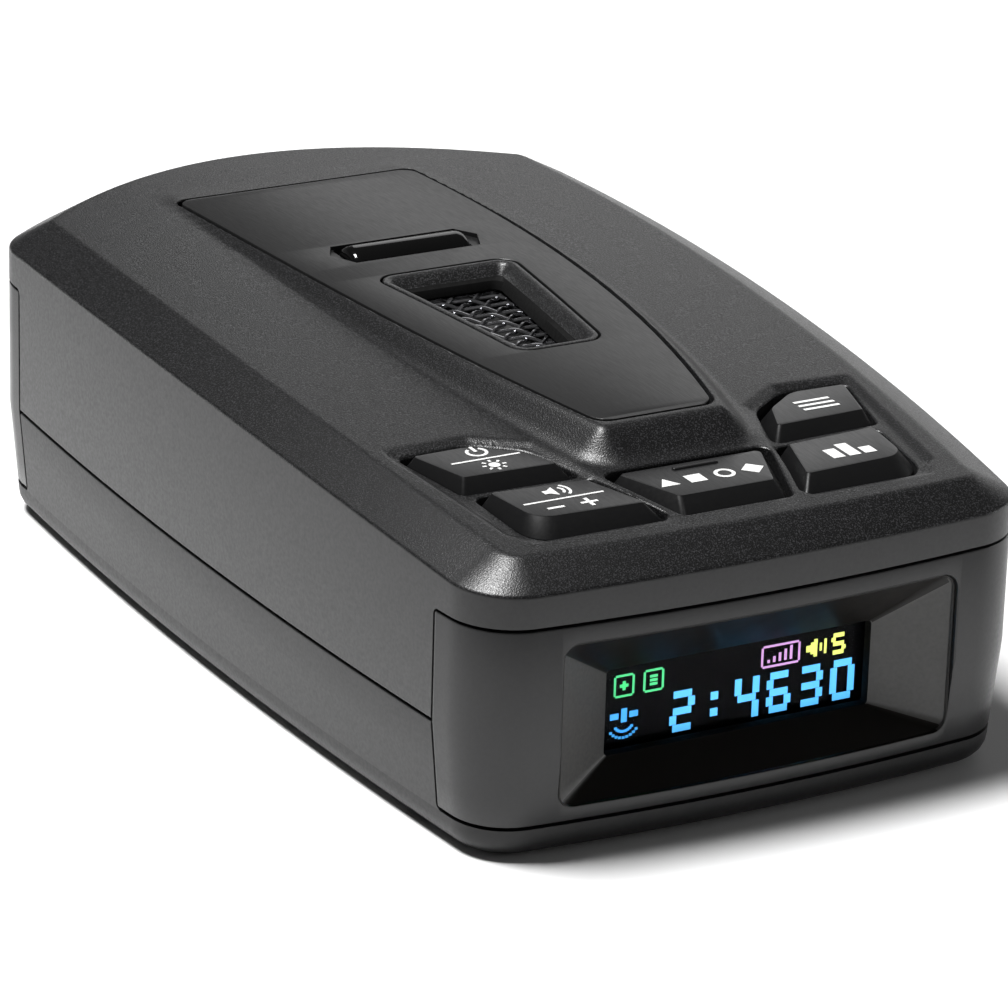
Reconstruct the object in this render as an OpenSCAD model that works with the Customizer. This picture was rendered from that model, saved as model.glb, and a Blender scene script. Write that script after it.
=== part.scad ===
// Dashboard radar detector: a wedge-shaped two-part case with a display bezel at the front,
// an antenna window at the back, a raised trapezoid hood and five sprung keys.
// +Z is up and the display faces -Y. The origin is below the middle of the case, on the surface it stands on.

/* [Case] */
// Length of the case, front to back, on its middle line
body_l = 118; // [112:1:124]
// Half of the width at the middle of the length
half_w = 33.6; // [32:0.1:35]
// How much further in the sides are at the ends than at the middle
side_bow = 2.8; // [2:0.1:3.4]
// Height of the upper surface at the front, on the middle line
front_h = 29.6; // [29:0.1:31]
// Extra height of the upper surface at the back
wedge = 2.5; // [2:0.1:3]
// Crown of the upper surface at the middle of the length
crown = 2.35; // [1.5:0.05:2.5]
// Radius of the case's corners, seen from above
corner_r = 6.8; // [6.4:0.1:7.6]
// Thickness of the case walls
wall = 2; // [1.8:0.1:2.2]
// Height of the line where the two halves of the case meet
parting_z = 12.6; // [12.4:0.1:13]

/* [Edge bevel] */
// Width of the bevel along the sides
bevel_side = 4.8; // [4.2:0.1:5]
// Width of the bevel along the front and the back
bevel_end = 3.8; // [3.2:0.1:4.2]
// Height of the bevel
bevel_h = 2.5; // [2.2:0.1:2.8]

/* [Display] */
// Length of the bezel along the sides
bezel_l = 9.7; // [9.4:0.1:10]
// Height of the bezel's upper edge
bezel_top = 23.9; // [23.6:0.1:24.1]
// Half of the width of the display recess
recess_w = 21.4; // [21:0.1:22]
// Half of the width of the clear window
window_w = 14.5; // [14:0.1:15]

/* [Keys] */
// Travel of each key
key_travel = 0.6; // [0.3:0.1:0.6]
// Gap round each key
key_gap = 0.3; // [0.25:0.05:0.35]

/* [Sockets] */
// Radius of the power plug that the socket takes
plug_r = 1.75; // [1.7:0.05:1.8]
// Place of the power socket, from the front
socket_s = 32; // [30:1:36]

/* [Hidden] */
$fn = 48;

seam = 0.15;            // half of the gap between two case parts
front_bow = 0.0021;     // how fast the front edge curves back
rear_bow = 0.0132;      // how fast the rear edge curves forward
bezel_bot = 3.5;        // lower edge of the bezel and of the rear window
rear_s = 99;            // where the rear window starts, from the front
rear_top = 26.2;        // upper edge of the rear window
window_z = [7.8, 16.5]; // lower and upper edge of the clear window
recess_z = [5.1, 21.8]; // lower and upper edge of the display recess
window_s = 5.2;         // depth of the clear window behind the front
plate_s = [22.4, 101];  // front and back ends of the hood plate
hood_s = 17;            // front foot of the hood
hood_h = 2.75;          // height of the hood at its front
hood_end = 96.5;        // where the hood runs out at the back
sunk = 0.45;            // how far the hood's foot reaches into the case
board_z = [4.4, 6];     // underside and top of the main board
key_board_z = [20.3, 21.5];
key_foot_z = 26;        // underside of the keys, on top of their plungers
plunger_foot_z = 24;    // underside of the plungers, inside their switches
speaker_s = 55;         // middle of the loudspeaker
socket_z = 8.4;         // middle of the power socket
spot_x = 31.9;          // floor of the round recess about the power socket
usb_s = 48;             // middle of the data socket

// ---------------------------------------------------------------- outline of the case
function along(s) = (s - body_l / 2) / (body_l / 2);
function side_x(s) = half_w - side_bow * pow(along(s), 2) + 1.35 * along(s);
function side_slope(s) = (-2 * side_bow * along(s) + 1.35) / (body_l / 2);
function front_y(x) = front_bow * x * x;
function rear_y(x) = body_l - rear_bow * x * x;

// Height of the upper surface, without the hood
function top_z(x, s) = front_h + wedge * s / body_l + crown * (1 - pow(along(s), 2))
    - 0.56 * pow(x / 30, 2);

// Centre of each corner's arc, found by a few steps of correction
function front_centre(c, n) = n == 0 ? c :
    let (t = atan(2 * front_bow * c[0]), w = atan(side_slope(c[1])))
    front_centre([side_x(c[1] - corner_r * sin(w)) - corner_r * cos(w),
        front_y(c[0] + corner_r * sin(t)) + corner_r * cos(t)], n - 1);
function rear_centre(c, n) = n == 0 ? c :
    let (x = c[0] + corner_r * cos(rear_angle(c[0])), w = atan(side_slope(c[1])))
    rear_centre([side_x(c[1]) - corner_r * cos(w),
        rear_y(x) - corner_r * sin(rear_angle(c[0]))], n - 1);
function rear_angle(x) = atan2(1, 2 * rear_bow * (x + corner_r * 0.55));

fc = front_centre([half_w - 12, corner_r], 6);
rc = rear_centre([half_w - 8, body_l - 16], 6);
fa = [-90 + atan(2 * front_bow * fc[0]), -atan(side_slope(fc[1]))];
ra = [-atan(side_slope(rc[1])), rear_angle(rc[0])];
side_ends = [fc[1] + corner_r * sin(fa[1]), rc[1] + corner_r * sin(ra[0])];
rear_end_x = rc[0] + corner_r * cos(ra[1]);
front_end_x = fc[0] + corner_r * cos(fa[0]);

// Points of the right half, each [x, s, outward normal x, outward normal s]
function arc_points(c, a, n) = [for (i = [0:n]) let (t = a[0] + (a[1] - a[0]) * i / n)
    [c[0] + corner_r * cos(t), c[1] + corner_r * sin(t), cos(t), sin(t)]];
function curve_point(x, s, slope_x, slope_s) = let (l = norm([slope_x, slope_s]))
    [x, s, slope_x / l, slope_s / l];
right_half = concat(
    [for (i = [0:4]) let (x = front_end_x * i / 5)
        curve_point(x, front_y(x), 2 * front_bow * x, -1)],
    arc_points(fc, fa, 7),
    [for (i = [1:11]) let (s = side_ends[0] + (side_ends[1] - side_ends[0]) * i / 12)
        curve_point(side_x(s), s, 1, -side_slope(s))],
    arc_points(rc, ra, 6),
    [for (i = [1:8]) let (x = rear_end_x * (1 - i / 8))
        curve_point(x, rear_y(x), 2 * rear_bow * x, 1)]);
outline = concat(right_half, [for (i = [len(right_half) - 2:-1:1])
    let (p = right_half[i]) [-p[0], p[1], -p[2], p[3]]]);

// Rings of the outline moved inwards: flat at one height, or following the upper surface
function inset_point(p, d) = [p[0] - p[2] * d, p[1] - p[3] * d];
function flat_ring(d, z) = [for (p = outline) let (q = inset_point(p, d)) [q[0], q[1], z]];
function bevel_of(p) = bevel_side * p[2] * p[2] + bevel_end * p[3] * p[3];
function upper_ring(d, dz) = [for (p = outline) let (q = inset_point(p, bevel_of(p) + d))
    [q[0], q[1], top_z(q[0], q[1]) + dz]];
function lower_ring(d, dz) = [for (p = outline) let (q = inset_point(p, bevel_of(p)),
    r = inset_point(p, d)) [r[0], r[1], top_z(q[0], q[1]) - bevel_h + dz]];
function cap_ring(d, k, dz) = [for (p = outline) let (q = inset_point(p, bevel_of(p) + d),
    x = q[0] * k, s = body_l / 2 + (q[1] - body_l / 2) * k) [x, s, top_z(x, s) + dz]];
function draft(z) = z > parting_z ? 0 : 0.09 * (parting_z - z);

function ring_middle(r) = let (n = len(r)) [for (k = [0:2]) [for (p = r) p[k]] * [for (p = r) 1] / n];

// A closed body through rings of points, each closed by a fan at its first and last ring
module loft(rings, first = undef, last = undef) {
    n = len(rings[0]);
    m = len(rings);
    low = is_undef(first) ? ring_middle(rings[0]) : first;
    high = is_undef(last) ? ring_middle(rings[m - 1]) : last;
    polyhedron(
        points = concat([for (r = rings) each r], [low, high]),
        faces = concat(
            [for (i = [0:n - 1]) [m * n, i, (i + 1) % n]],
            [for (k = [0:m - 2]) for (i = [0:n - 1]) each let (j = (i + 1) % n)
                [[k * n + i, (k + 1) * n + i, k * n + j], [k * n + j, (k + 1) * n + i, (k + 1) * n + j]]],
            [for (i = [0:n - 1]) [m * n + 1, (m - 1) * n + (i + 1) % n, (m - 1) * n + i]]),
        convexity = 6);
}

// Part of the case wall between two heights, with the draft of the lower half
module wall_solid(z0, z1, d) {
    loft([flat_ring(draft(z0) + d, z0), flat_ring(d, parting_z), flat_ring(d, z1)]);
}

// ---------------------------------------------------------------- shared shapes
module placed() { translate([0, -body_l / 2, 0]) children(); }
module pair() { children(); mirror([1, 0, 0]) children(); }
module block(x, s, z) {
    translate([x[0], s[0], z[0]]) cube([x[1] - x[0], s[1] - s[0], z[1] - z[0]]);
}
module rod(x, s, z, r) { translate([x, s, z[0]]) cylinder(r = r, h = z[1] - z[0]); }
module bar(x, s, z, r) {
    translate([x[0], s, z]) rotate([0, 90, 0]) cylinder(r = r, h = x[1] - x[0]);
}

// A flat outline with rounded corners: points go anticlockwise, each [x, s, radius]
function corner_arc(a, b, c, r) = let (u = (a - b) / norm(a - b), v = (c - b) / norm(c - b),
    half = acos(u * v) / 2, l = r / tan(half), m = (u + v) / norm(u + v),
    o = b + m * (r / sin(half)), p = b + u * l, q = b + v * l,
    t0 = atan2(p[1] - o[1], p[0] - o[0]), t1 = atan2(q[1] - o[1], q[0] - o[0]),
    sweep = t1 - t0 > 180 ? t1 - t0 - 360 : t1 - t0 < -180 ? t1 - t0 + 360 : t1 - t0)
    r <= 0 ? [b] : [for (i = [0:5]) o + r * [cos(t0 + sweep * i / 5), sin(t0 + sweep * i / 5)]];
function rounded(points) = [for (i = [0:len(points) - 1])
    let (n = len(points), a = points[(i + n - 1) % n], b = points[i], c = points[(i + 1) % n])
    each corner_arc([a[0], a[1]], [b[0], b[1]], [c[0], c[1]], b[2])];
module slab(points, z) { translate([0, 0, z[0]]) linear_extrude(z[1] - z[0]) polygon(points); }

// ---------------------------------------------------------------- hood and plate
function hood_rise(s) = max(0.02, hood_h * (1 - (s - 18) / 83));
function end_round(s, ends, r) = let (t = min(s - ends[0], ends[1] - s))
    t >= r ? 0 : r - sqrt(max(0, r * r - pow(r - t, 2)));
function plate_w(s) = 14 - 7.9 * pow(max(0, 100 - s) / 78, 2.6);
function hood_z(s) = top_z(0, s) + hood_rise(s);
function hood_foot_w(s) = plate_w(s) + 0.6 + 1.5 * hood_rise(s);

// A body made of sections along s: each section is a list of [x, z]
module sections(list) {
    n = len(list[0][1]);
    m = len(list);
    polyhedron(
        points = [for (t = list) for (p = t[1]) [p[0], t[0], p[1]]],
        faces = concat(
            [[for (i = [0:n - 1]) i]],
            [for (k = [0:m - 2]) for (i = [0:n - 1]) each let (j = (i + 1) % n)
                [[k * n + i, (k + 1) * n + i, k * n + j], [k * n + j, (k + 1) * n + i, (k + 1) * n + j]]],
            [[for (i = [n - 1:-1:0]) (m - 1) * n + i]]),
        convexity = 6);
}
module plate_solid(grow, dz) {
    ends = [plate_s[0] - grow, plate_s[1] + grow];
    steps = concat([0, 0.25, 0.8, 1.6], [for (i = [1:14]) 1.6 + (ends[1] - ends[0] - 3.2) * i / 15],
        [for (t = [1.6, 0.8, 0.25, 0]) ends[1] - ends[0] - t]);
    sections([for (t = steps) let (s = ends[0] + t,
        w = plate_w(s) + grow - end_round(s, ends, 1.6), z = hood_z(s))
        [s, [[-w, z + dz[0]], [-w, z + dz[1]], [w, z + dz[1]], [w, z + dz[0]]]]]);
}
// The hood, sunk a little into the case so that its faces cross the case's surface cleanly
module hood_solid() {
    steps = [for (i = [0:16]) hood_s + (hood_end - hood_s) * pow(i / 16, 1.4)];
    sections([for (s = steps) let (
        up = min(1, (s - hood_s) / 4.2), rise = hood_rise(s) * up,
        foot = hood_foot_w(s) - end_round(s, [hood_s - 0.3, 400], 3),
        shoulder = foot - 1.5 * rise - 0.2,
        zf = top_z(foot, s) - sunk, zt = top_z(0, s) + rise - sunk * (1 - up))
        [s, [[-foot - sunk, zf - 0.9], [-foot - sunk, zf], [-shoulder, zt], [shoulder, zt],
            [foot + sunk, zf], [foot + sunk, zf - 0.9]]]]);
}

// ---------------------------------------------------------------- keys
// Foot outlines, right-hand keys as seen from above; each point is [x, s, corner radius]
function_foot = [[-5.8, 6.95, 0.6], [5.8, 6.95, 0.6], [9, 16.9, 0.8], [-9, 16.9, 0.8]];
city_foot = [[7.4, 7.1, 0.5], [21.1, 7.7, 3], [22, 17.7, 0.6], [10.4, 16.9, 0.5]];
menu_foot = [[10.9, 18.3, 0.5], [22.7, 19.2, 0.5], [24.7, 28.1, 0.5], [17.5, 28.2, 3.5],
    [13, 25, 3]];
function_head = [[-5.1, 9, 0.5], [5.1, 9, 0.5], [7.8, 16.1, 0.5], [-7.8, 16.1, 0.5]];
city_head = [[8.9, 9, 0.3], [20, 9.6, 2.4], [21, 16.9, 0.3], [11.2, 16.2, 0.3]];
menu_head = [[12.2, 20, 0.3], [22, 20.4, 0.3], [23.9, 27, 0.3], [18, 27.2, 3], [14, 24.2, 2.6]];
function_mid = [0, 12.4];
city_mid = [15.2, 12.8];
menu_mid = [17.6, 22.8];
front_row_z = 31.2;     // top of the front row of keys
back_row_z = 31.7;      // top of the back row of keys
skirt_h = 1.6;          // height of the sloping skirt below a key's top
lug_z = 27.1;           // top of the lugs that hold a key under the case

function grown(points, d) = let (o = [for (p = points) p[0]] * [for (p = points) 1] / len(points),
    q = [for (p = points) p[1]] * [for (p = points) 1] / len(points))
    [for (p = points) let (v = [p[0] - o, p[1] - q], l = norm(v))
        [p[0] + v[0] / l * d * 1.3, p[1] + v[1] / l * d * 1.3, p[2] + d / 2]];
module key(foot, head, z, middle, lug_x, lug_s) {
    hull() {
        slab(rounded(foot), [z - skirt_h - 0.2, z - skirt_h]);
        slab(rounded(head), [z - 0.1, z]);
    }
    slab(rounded(foot), [key_foot_z + 0.6, z - skirt_h - 0.1]);
    block(lug_x, lug_s, [lug_z - 1, lug_z]);
    rod(middle[0], middle[1], [key_foot_z, key_foot_z + 1], 2);
}
module key_well(foot) { slab(rounded(grown(foot, key_gap)), [key_foot_z - 1, 40]); }
module plunger(middle) { rod(middle[0], middle[1], [plunger_foot_z, key_foot_z], 1.7); }
module power_side() { mirror([1, 0, 0]) children(); }

// ---------------------------------------------------------------- case
case_screws_at = [[27.3, 15.5, 28.2], [28, 94, 31.2]];  // x, s, and top of the boss
board_screws_at = [[20, 19], [20, 78]];
key_screw = [6.4, 22.6];

module front_cut(grow) {
    block([-50, 50], [-5, bezel_l + grow], [bezel_bot - grow, bezel_top + grow]);
}
module rear_cut(grow) {
    block([-50, 50], [rear_s - grow, body_l + 5], [bezel_bot - grow, rear_top + grow]);
}
module grille_outline(d, z) {
    slab(rounded([[-4.7 - d, 41.4 - d, 2], [4.7 + d, 41.4 - d, 2],
        [7.9 + d, 66.9 + d, 2], [-7.9 - d, 66.9 + d, 2]]), z);
}
module light_slot(d) { block([-6.9 - d, 6.9 + d], [72.4 - d, 77.9 + d], [20, 40]); }
module bracket_slot() { block([-10, 10], [102, body_l + 2], [27, 29.2]); }

module top_shell() color([0.17, 0.17, 0.18]) placed() difference() {
    union() {
        difference() {
            union() {
                loft([flat_ring(0, parting_z + seam), lower_ring(0, 0), upper_ring(0, 0),
                    cap_ring(0, 0.8, 0), cap_ring(0, 0.55, 0), cap_ring(0, 0.28, 0)],
                    last = [0, body_l / 2, top_z(0, body_l / 2)]);
                hood_solid();
            }
            loft([flat_ring(wall - 1.05, 10), flat_ring(wall - 1.05, parting_z + 1.7),
                flat_ring(wall, parting_z + 1.7), lower_ring(wall, -1.6),
                upper_ring(0.8, -2.1), cap_ring(0.8, 0.7, -2.1), cap_ring(0.8, 0.35, -2.1)],
                last = [0, body_l / 2, top_z(0, body_l / 2) - 2.1]);
            front_cut(seam);
            rear_cut(seam);
        }
        // speaker holder, key board bosses, screw bosses and the bracket channel
        rod(0, speaker_s, [27.2, 32], 14.2);
        pair() rod(key_screw[0], key_screw[1], [key_board_z[1], 31.6], 2.1);
        for (b = case_screws_at) pair() rod(b[0], b[1], [parting_z + 2, b[2]], 2.6);
        block([-11.5, 11.5], [100.5, 114], [26.6, 31.4]);
    }
    rod(0, speaker_s, [26, 30.2], 12.8);
    rod(0, speaker_s, [26, 31.9], 11);
    pair() rod(key_screw[0], key_screw[1], [key_board_z[1] - 1, 27], 0.8);
    for (b = case_screws_at) pair() rod(b[0], b[1], [parting_z, 22], 0.9);
    bracket_slot();
    key_well(function_foot);
    pair() key_well(city_foot);
    pair() key_well(menu_foot);
    plate_solid(0.15, [-1.3, 3]);
    grille_outline(0.15, [26, 40]);
    light_slot(0.2);
}

module bottom_shell() color([0.15, 0.15, 0.16]) placed() difference() {
    union() {
        difference() {
            loft([flat_ring(3.2, 0), flat_ring(2, 0.5), flat_ring(1.3, 1.6),
                flat_ring(draft(bezel_bot), bezel_bot), flat_ring(0, parting_z - seam),
                flat_ring(wall - 0.85, parting_z - seam), flat_ring(wall - 0.85, parting_z + 1.5)]);
            loft([flat_ring(4, wall), flat_ring(3, wall + 1.2), flat_ring(wall, parting_z - 1),
                flat_ring(wall, parting_z + 3)]);
            front_cut(seam);
            rear_cut(seam);
        }
        for (b = case_screws_at) pair() rod(b[0], b[1], [wall - 0.5, parting_z + 1.7], 2.6);
        for (b = board_screws_at) pair() rod(b[0], b[1], [wall - 0.5, board_z[0]], 2.3);
        block([-14, 14], [101, 102.4], [wall - 0.5, 5.1]);
    }
    for (b = case_screws_at) pair() {
        rod(b[0], b[1], [-1, 8], 2.3);
        rod(b[0], b[1], [7, 20], 1.2);
    }
    for (b = board_screws_at) pair() rod(b[0], b[1], [wall + 0.4, 5], 0.8);
    bar([26, 40], socket_s, socket_z, 3);
    bar([spot_x, 40], socket_s, socket_z, 3.6);
    block([26, 40], [usb_s - 4, usb_s + 4], [6.1, 9.2]);
    translate([0, body_l / 2, -1]) linear_extrude(1.35)
        polygon(rounded([[-21, -15, 2], [21, -15, 2], [21, 15, 2], [-21, 15, 2]]));
}

module front_bezel() color([0.19, 0.19, 0.2]) placed() difference() {
    intersection() {
        wall_solid(bezel_bot + seam, bezel_top - seam, 0);
        front_cut(-seam);
    }
    wall_solid(bezel_bot - 1, bezel_top + 1, wall);
    recess_prism(0, [-3, 12]);
}
// A rounded rectangle in the front plane, run from one depth to another
module recess_prism(d, s) {
    translate([0, s[1], 0]) rotate([90, 0, 0]) linear_extrude(s[1] - s[0])
        polygon(rounded([[-recess_w + d, recess_z[0] + d, 1.7], [recess_w - d, recess_z[0] + d, 1.7],
            [recess_w - d, recess_z[1] - d, 1.7], [-recess_w + d, recess_z[1] - d, 1.7]]));
}
module rear_window() color([0.08, 0.08, 0.09]) placed() difference() {
    intersection() {
        wall_solid(bezel_bot + seam, rear_top - seam, 0);
        rear_cut(-seam);
    }
    wall_solid(bezel_bot - 1, rear_top + 1, wall);
}

// ---------------------------------------------------------------- display
module display_surround() color([0.07, 0.07, 0.07]) placed() difference() {
    recess_prism(0.12, [1.3, 6.2]);
    hull() {
        recess_prism(0.6, [1.2, 1.3]);
        block([-window_w, window_w], [window_s, window_s + 0.1], window_z);
    }
    block([-window_w, window_w], [1, 9], window_z);
}
module display_window() color([0.2, 0.2, 0.22]) placed()
    block([-16, 16], [6.25, 7.05], [6.4, 17.9]);
module oled_module() color([0.05, 0.05, 0.09]) placed() union() {
    block([-17.2, 17.2], [7.15, 8.65], [5.6, 18.6]);
    block([-10, 10], [7.5, 8.65], [18.5, 19.6]);
}
module display_board() color([0.1, 0.35, 0.2]) placed() difference() {
    block([-20, 20], [8.75, 9.75], [3.9, 20]);
    pair() translate([18.4, 12, 18.4]) rotate([90, 0, 0]) cylinder(r = 0.8, h = 6);
}
module display_ribbon() color([0.75, 0.5, 0.2]) placed()
    translate([-6, 9.85, 0]) rotate([90, 0, 90]) linear_extrude(12) difference() {
        union() {
            translate([3, 9]) circle(r = 3);
            translate([0, 9]) square([0.25, 3]);
        }
        translate([3, 9]) circle(r = 2.75);
        translate([3, 5]) square([4, 8]);
        translate([0.25, 9]) square([6, 6]);
    }

// ---------------------------------------------------------------- hood pieces
module hood_plate() color([0.22, 0.22, 0.23]) placed() difference() {
    plate_solid(0, [-1.2, 0]);
    grille_outline(0.15, [26, 40]);
    light_slot(0.2);
    // shallow pocket with pointed ends round the light pipe
    slab([[-8.6, 75.6], [-7.3, 71.8], [7.3, 71.8], [8.6, 75.6], [7.3, 79], [-7.3, 79]],
        [hood_z(75) - 0.8, 40]);
}
module laser_light_pipe() color([0.05, 0.04, 0.04]) placed() union() {
    intersection() {
        bar([-6.9, 6.9], 75.15, hood_z(75) - 2.1, 2.7);
        block([-7, 7], [72.3, 78], [hood_z(75) - 2.1, 40]);
    }
    block([-6.9, 6.9], [72.45, 77.85], [hood_z(75) - 4.6, hood_z(75) - 2]);
    block([-3.5, 3.5], [73.8, 76.4], [7.8, hood_z(75) - 4.5]);
}
module grille_frame() color([0.15, 0.15, 0.16]) placed() difference() {
    grille_outline(0, [31, 34.6]);
    hull() {
        slab(rounded([[-3.4, 43.2, 1], [3.4, 43.2, 1], [6.4, 65.2, 1], [-6.4, 65.2, 1]]), [34.4, 35]);
        slab(rounded([[-2.6, 44.2, 0.8], [2.6, 44.2, 0.8], [5.5, 64.6, 0.8], [-5.5, 64.6, 0.8]]), [32, 32.1]);
    }
    slab(rounded([[-3.6, 43, 0.8], [3.6, 43, 0.8], [6.6, 65.8, 0.8], [-6.6, 65.8, 0.8]]), [30, 32.05]);
}
// Woven wire in two crossing layers, held in a flat rim
module grille_mesh() color([0.35, 0.35, 0.36]) placed() {
    mesh_edge = rounded([[-3.5, 43.1, 0.7], [3.5, 43.1, 0.7], [6.5, 65.7, 0.7], [-6.5, 65.7, 0.7]]);
    mesh_hole = rounded([[-2.9, 43.8, 0.7], [2.9, 43.8, 0.7], [5.8, 65, 0.7], [-5.8, 65, 0.7]]);
    intersection() {
        slab(mesh_edge, [31, 32]);
        union() for (k = [-1, 1]) for (i = [-7:7])
            translate([0, speaker_s + i * 3, 31.5 + 0.18 * k]) rotate([0, 90, k * 38])
                cylinder(r = 0.3, h = 40, center = true);
    }
    difference() {
        slab(mesh_edge, [31.3, 31.7]);
        slab(mesh_hole, [31, 32]);
    }
}

// ---------------------------------------------------------------- the keys and their switches
module power_button() color([0.12, 0.12, 0.13]) placed() power_side()
    key(menu_foot, menu_head, back_row_z, menu_mid, [23.6, 25.4], [22, 26]);
module menu_button() color([0.12, 0.12, 0.13]) placed()
    key(menu_foot, menu_head, back_row_z, menu_mid, [23.6, 25.4], [22, 26]);
module quiet_button() color([0.12, 0.12, 0.13]) placed() power_side()
    key(city_foot, city_head, front_row_z, city_mid, [20.6, 22.9], [11.5, 15.5]);
module city_button() color([0.12, 0.12, 0.13]) placed()
    key(city_foot, city_head, front_row_z, city_mid, [20.6, 22.9], [11.5, 15.5]);
module function_button() color([0.12, 0.12, 0.13]) placed()
    key(function_foot, function_head, front_row_z, function_mid, [-4, 4], [16, 17.9]);
module power_plunger() color("dimgray") placed() power_side() plunger(menu_mid);
module menu_plunger() color("dimgray") placed() plunger(menu_mid);
module quiet_plunger() color("dimgray") placed() power_side() plunger(city_mid);
module city_plunger() color("dimgray") placed() plunger(city_mid);
module function_plunger() color("dimgray") placed() plunger(function_mid);

module switch_body(middle) difference() {
    block([middle[0] - 3, middle[0] + 3], [middle[1] - 3, middle[1] + 3], [key_board_z[1], 25]);
    rod(middle[0], middle[1], [plunger_foot_z - key_travel - 0.2, 26], 1.95);
}
module switch_bodies() color("gray") placed() {
    switch_body(function_mid);
    pair() switch_body(city_mid);
    pair() switch_body(menu_mid);
}
module switch_board() color([0.1, 0.35, 0.2]) placed() difference() {
    slab([[-20, 9.4], [20, 9.4], [23.4, 17], [23.4, 27], [-23.4, 27], [-23.4, 17]], key_board_z);
    pair() rod(key_screw[0], key_screw[1], [15, 25], 1);
}
module key_ribbon() color([0.75, 0.5, 0.2]) placed()
    translate([-5, 27.6, 0]) rotate([90, 0, 90]) linear_extrude(10) union() {
        translate([0, 9]) square([0.25, 11.1]);
        difference() {
            translate([3, 9]) circle(r = 3);
            translate([3, 9]) circle(r = 2.75);
            translate([3, 5]) square([4, 8]);
            translate([-1, 9]) square([6, 6]);
        }
        translate([-2.4, 19.85]) square([2.65, 0.25]);
    }

// ---------------------------------------------------------------- inside the case
module main_board() color([0.1, 0.35, 0.2]) placed() difference() {
    slab([[-22, 11], [22, 11], [24.5, 19], [24.5, 83], [-24.5, 83], [-24.5, 19]], board_z);
    for (b = board_screws_at) pair() rod(b[0], b[1], [0, 10], 1.1);
}
module chip(x, s, w, l, h) { block([x, x + w], [s, s + l], [board_z[1], board_z[1] + h]); }
module chips() color([0.08, 0.08, 0.09]) placed() {
    chip(-17, 20.5, 11, 11, 1.4);
    chip(6, 22, 8, 8, 1.2);
    chip(13, 53, 9, 6, 1.5);
    chip(-23, 62, 6, 9, 1.2);
}
module capacitors() color([0.3, 0.32, 0.36]) placed() {
    for (s = [30, 37, 44]) rod(-20.5, s, [board_z[1], board_z[1] + 7], 2.8);
    rod(19.5, 64.5, [board_z[1], board_z[1] + 8.5], 3.2);
}
module rf_shield() color([0.75, 0.76, 0.78]) placed() difference() {
    block([-14, 14], [59, 72], [board_z[1], board_z[1] + 4.5]);
    block([-13.5, 13.5], [59.5, 71.5], [board_z[1] - 1, board_z[1] + 4]);
}
module gps_antenna() color([0.8, 0.76, 0.68]) placed() union() {
    block([-9, 9], [36, 54], [board_z[1], board_z[1] + 4]);
    block([-7, 7], [38, 52], [board_z[1] + 3.9, board_z[1] + 4.15]);
}
module horn_antenna() color([0.7, 0.71, 0.73]) placed() difference() {
    union() {
        block([-11, 11], [84, 91], [6, 22]);
        hull() {
            block([-8, 8], [88, 89], [8, 20]);
            block([-18.5, 18.5], [109, 110], [4, 24.6]);
        }
    }
    hull() {
        block([-5.5, 5.5], [88, 89], [10.5, 17.5]);
        block([-17, 17], [109.5, 111], [5.5, 23.1]);
    }
}
module laser_lens() color([0.25, 0.05, 0.05]) placed() translate([22.5, 102, 14]) rotate([-90, 0, 0])
    intersection() {
        cylinder(r = 3.4, h = 4);
        translate([0, 0, -3.6]) sphere(r = 6.8);
    }
module light_sensors() color([0.12, 0.12, 0.14]) placed() {
    block([20, 25], [98, 101.6], [11.4, 16.6]);
    block([20.6, 24.4], [96.4, 98.1], [6, 16.4]);
    block([-2.5, 2.5], [73, 77], [board_z[1], 7.6]);
}
module speaker_basket() color([0.2, 0.2, 0.21]) placed() translate([0, speaker_s, 0]) rotate_extrude()
    polygon([[5, 24.4], [8.5, 24.4], [12.6, 28.2], [12.6, 29.9], [11.3, 29.9], [11.3, 28.9], [7.9, 25.6],
        [5, 25.6]]);
module speaker_cone() color([0.1, 0.1, 0.1]) placed() translate([0, speaker_s, 0]) rotate_extrude()
    polygon([[0, 27.1], [2.4, 26.7], [3, 26.2], [10.9, 29.2], [11.2, 29.2], [11.2, 29.5], [10.8, 29.5],
        [3.1, 26.6], [2.6, 27], [0, 27.5]]);
module speaker_magnet() color([0.45, 0.45, 0.47]) placed() translate([0, speaker_s, 0]) rotate_extrude()
    polygon([[0, 20.6], [7.4, 20.6], [7.4, 24.35], [4.6, 24.35], [4.6, 25.6], [2.6, 25.6], [2.6, 22.4],
        [0, 22.4]]);

// ---------------------------------------------------------------- sockets and screws
module power_socket() color([0.1, 0.1, 0.1]) placed() difference() {
    union() {
        block([18.4, 29], [socket_s - 4, socket_s + 4], [board_z[1], socket_z + 2.9]);
        bar([28.5, side_x(socket_s) - 0.6], socket_s, socket_z, 2.8);
    }
    bar([side_x(socket_s) - 12.6, 40], socket_s, socket_z, plug_r);
}
module usb_socket() color([0.7, 0.71, 0.73]) placed() difference() {
    block([25, side_x(usb_s) - 0.9], [usb_s - 3.8, usb_s + 3.8], [board_z[1] + 0.25, board_z[1] + 3]);
    block([26, 40], [usb_s - 3.4, usb_s + 3.4], [board_z[1] + 0.6, board_z[1] + 2.65]);
}
module screw(x, s, head_z, up, r, head_r) {
    rod(x, s, [min(head_z, head_z - 1.4 * up), max(head_z, head_z - 1.4 * up)], head_r);
    rod(x, s, [min(head_z, head_z + 3.4 * up), max(head_z, head_z + 3.4 * up)], r);
}
module case_screws() color([0.5, 0.5, 0.52]) placed()
    for (b = case_screws_at) pair() {
        rod(b[0], b[1], [6.4, 7.9], 2);
        rod(b[0], b[1], [7.8, 20.5], 0.85);
    }
module board_screws() color([0.5, 0.5, 0.52]) placed() {
    for (b = board_screws_at) pair() screw(b[0], b[1], board_z[1] + 0.02, -1, 0.75, 1.9);
    pair() screw(key_screw[0], key_screw[1], key_board_z[0] - 0.02, 1, 0.75, 1.9);
}

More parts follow.
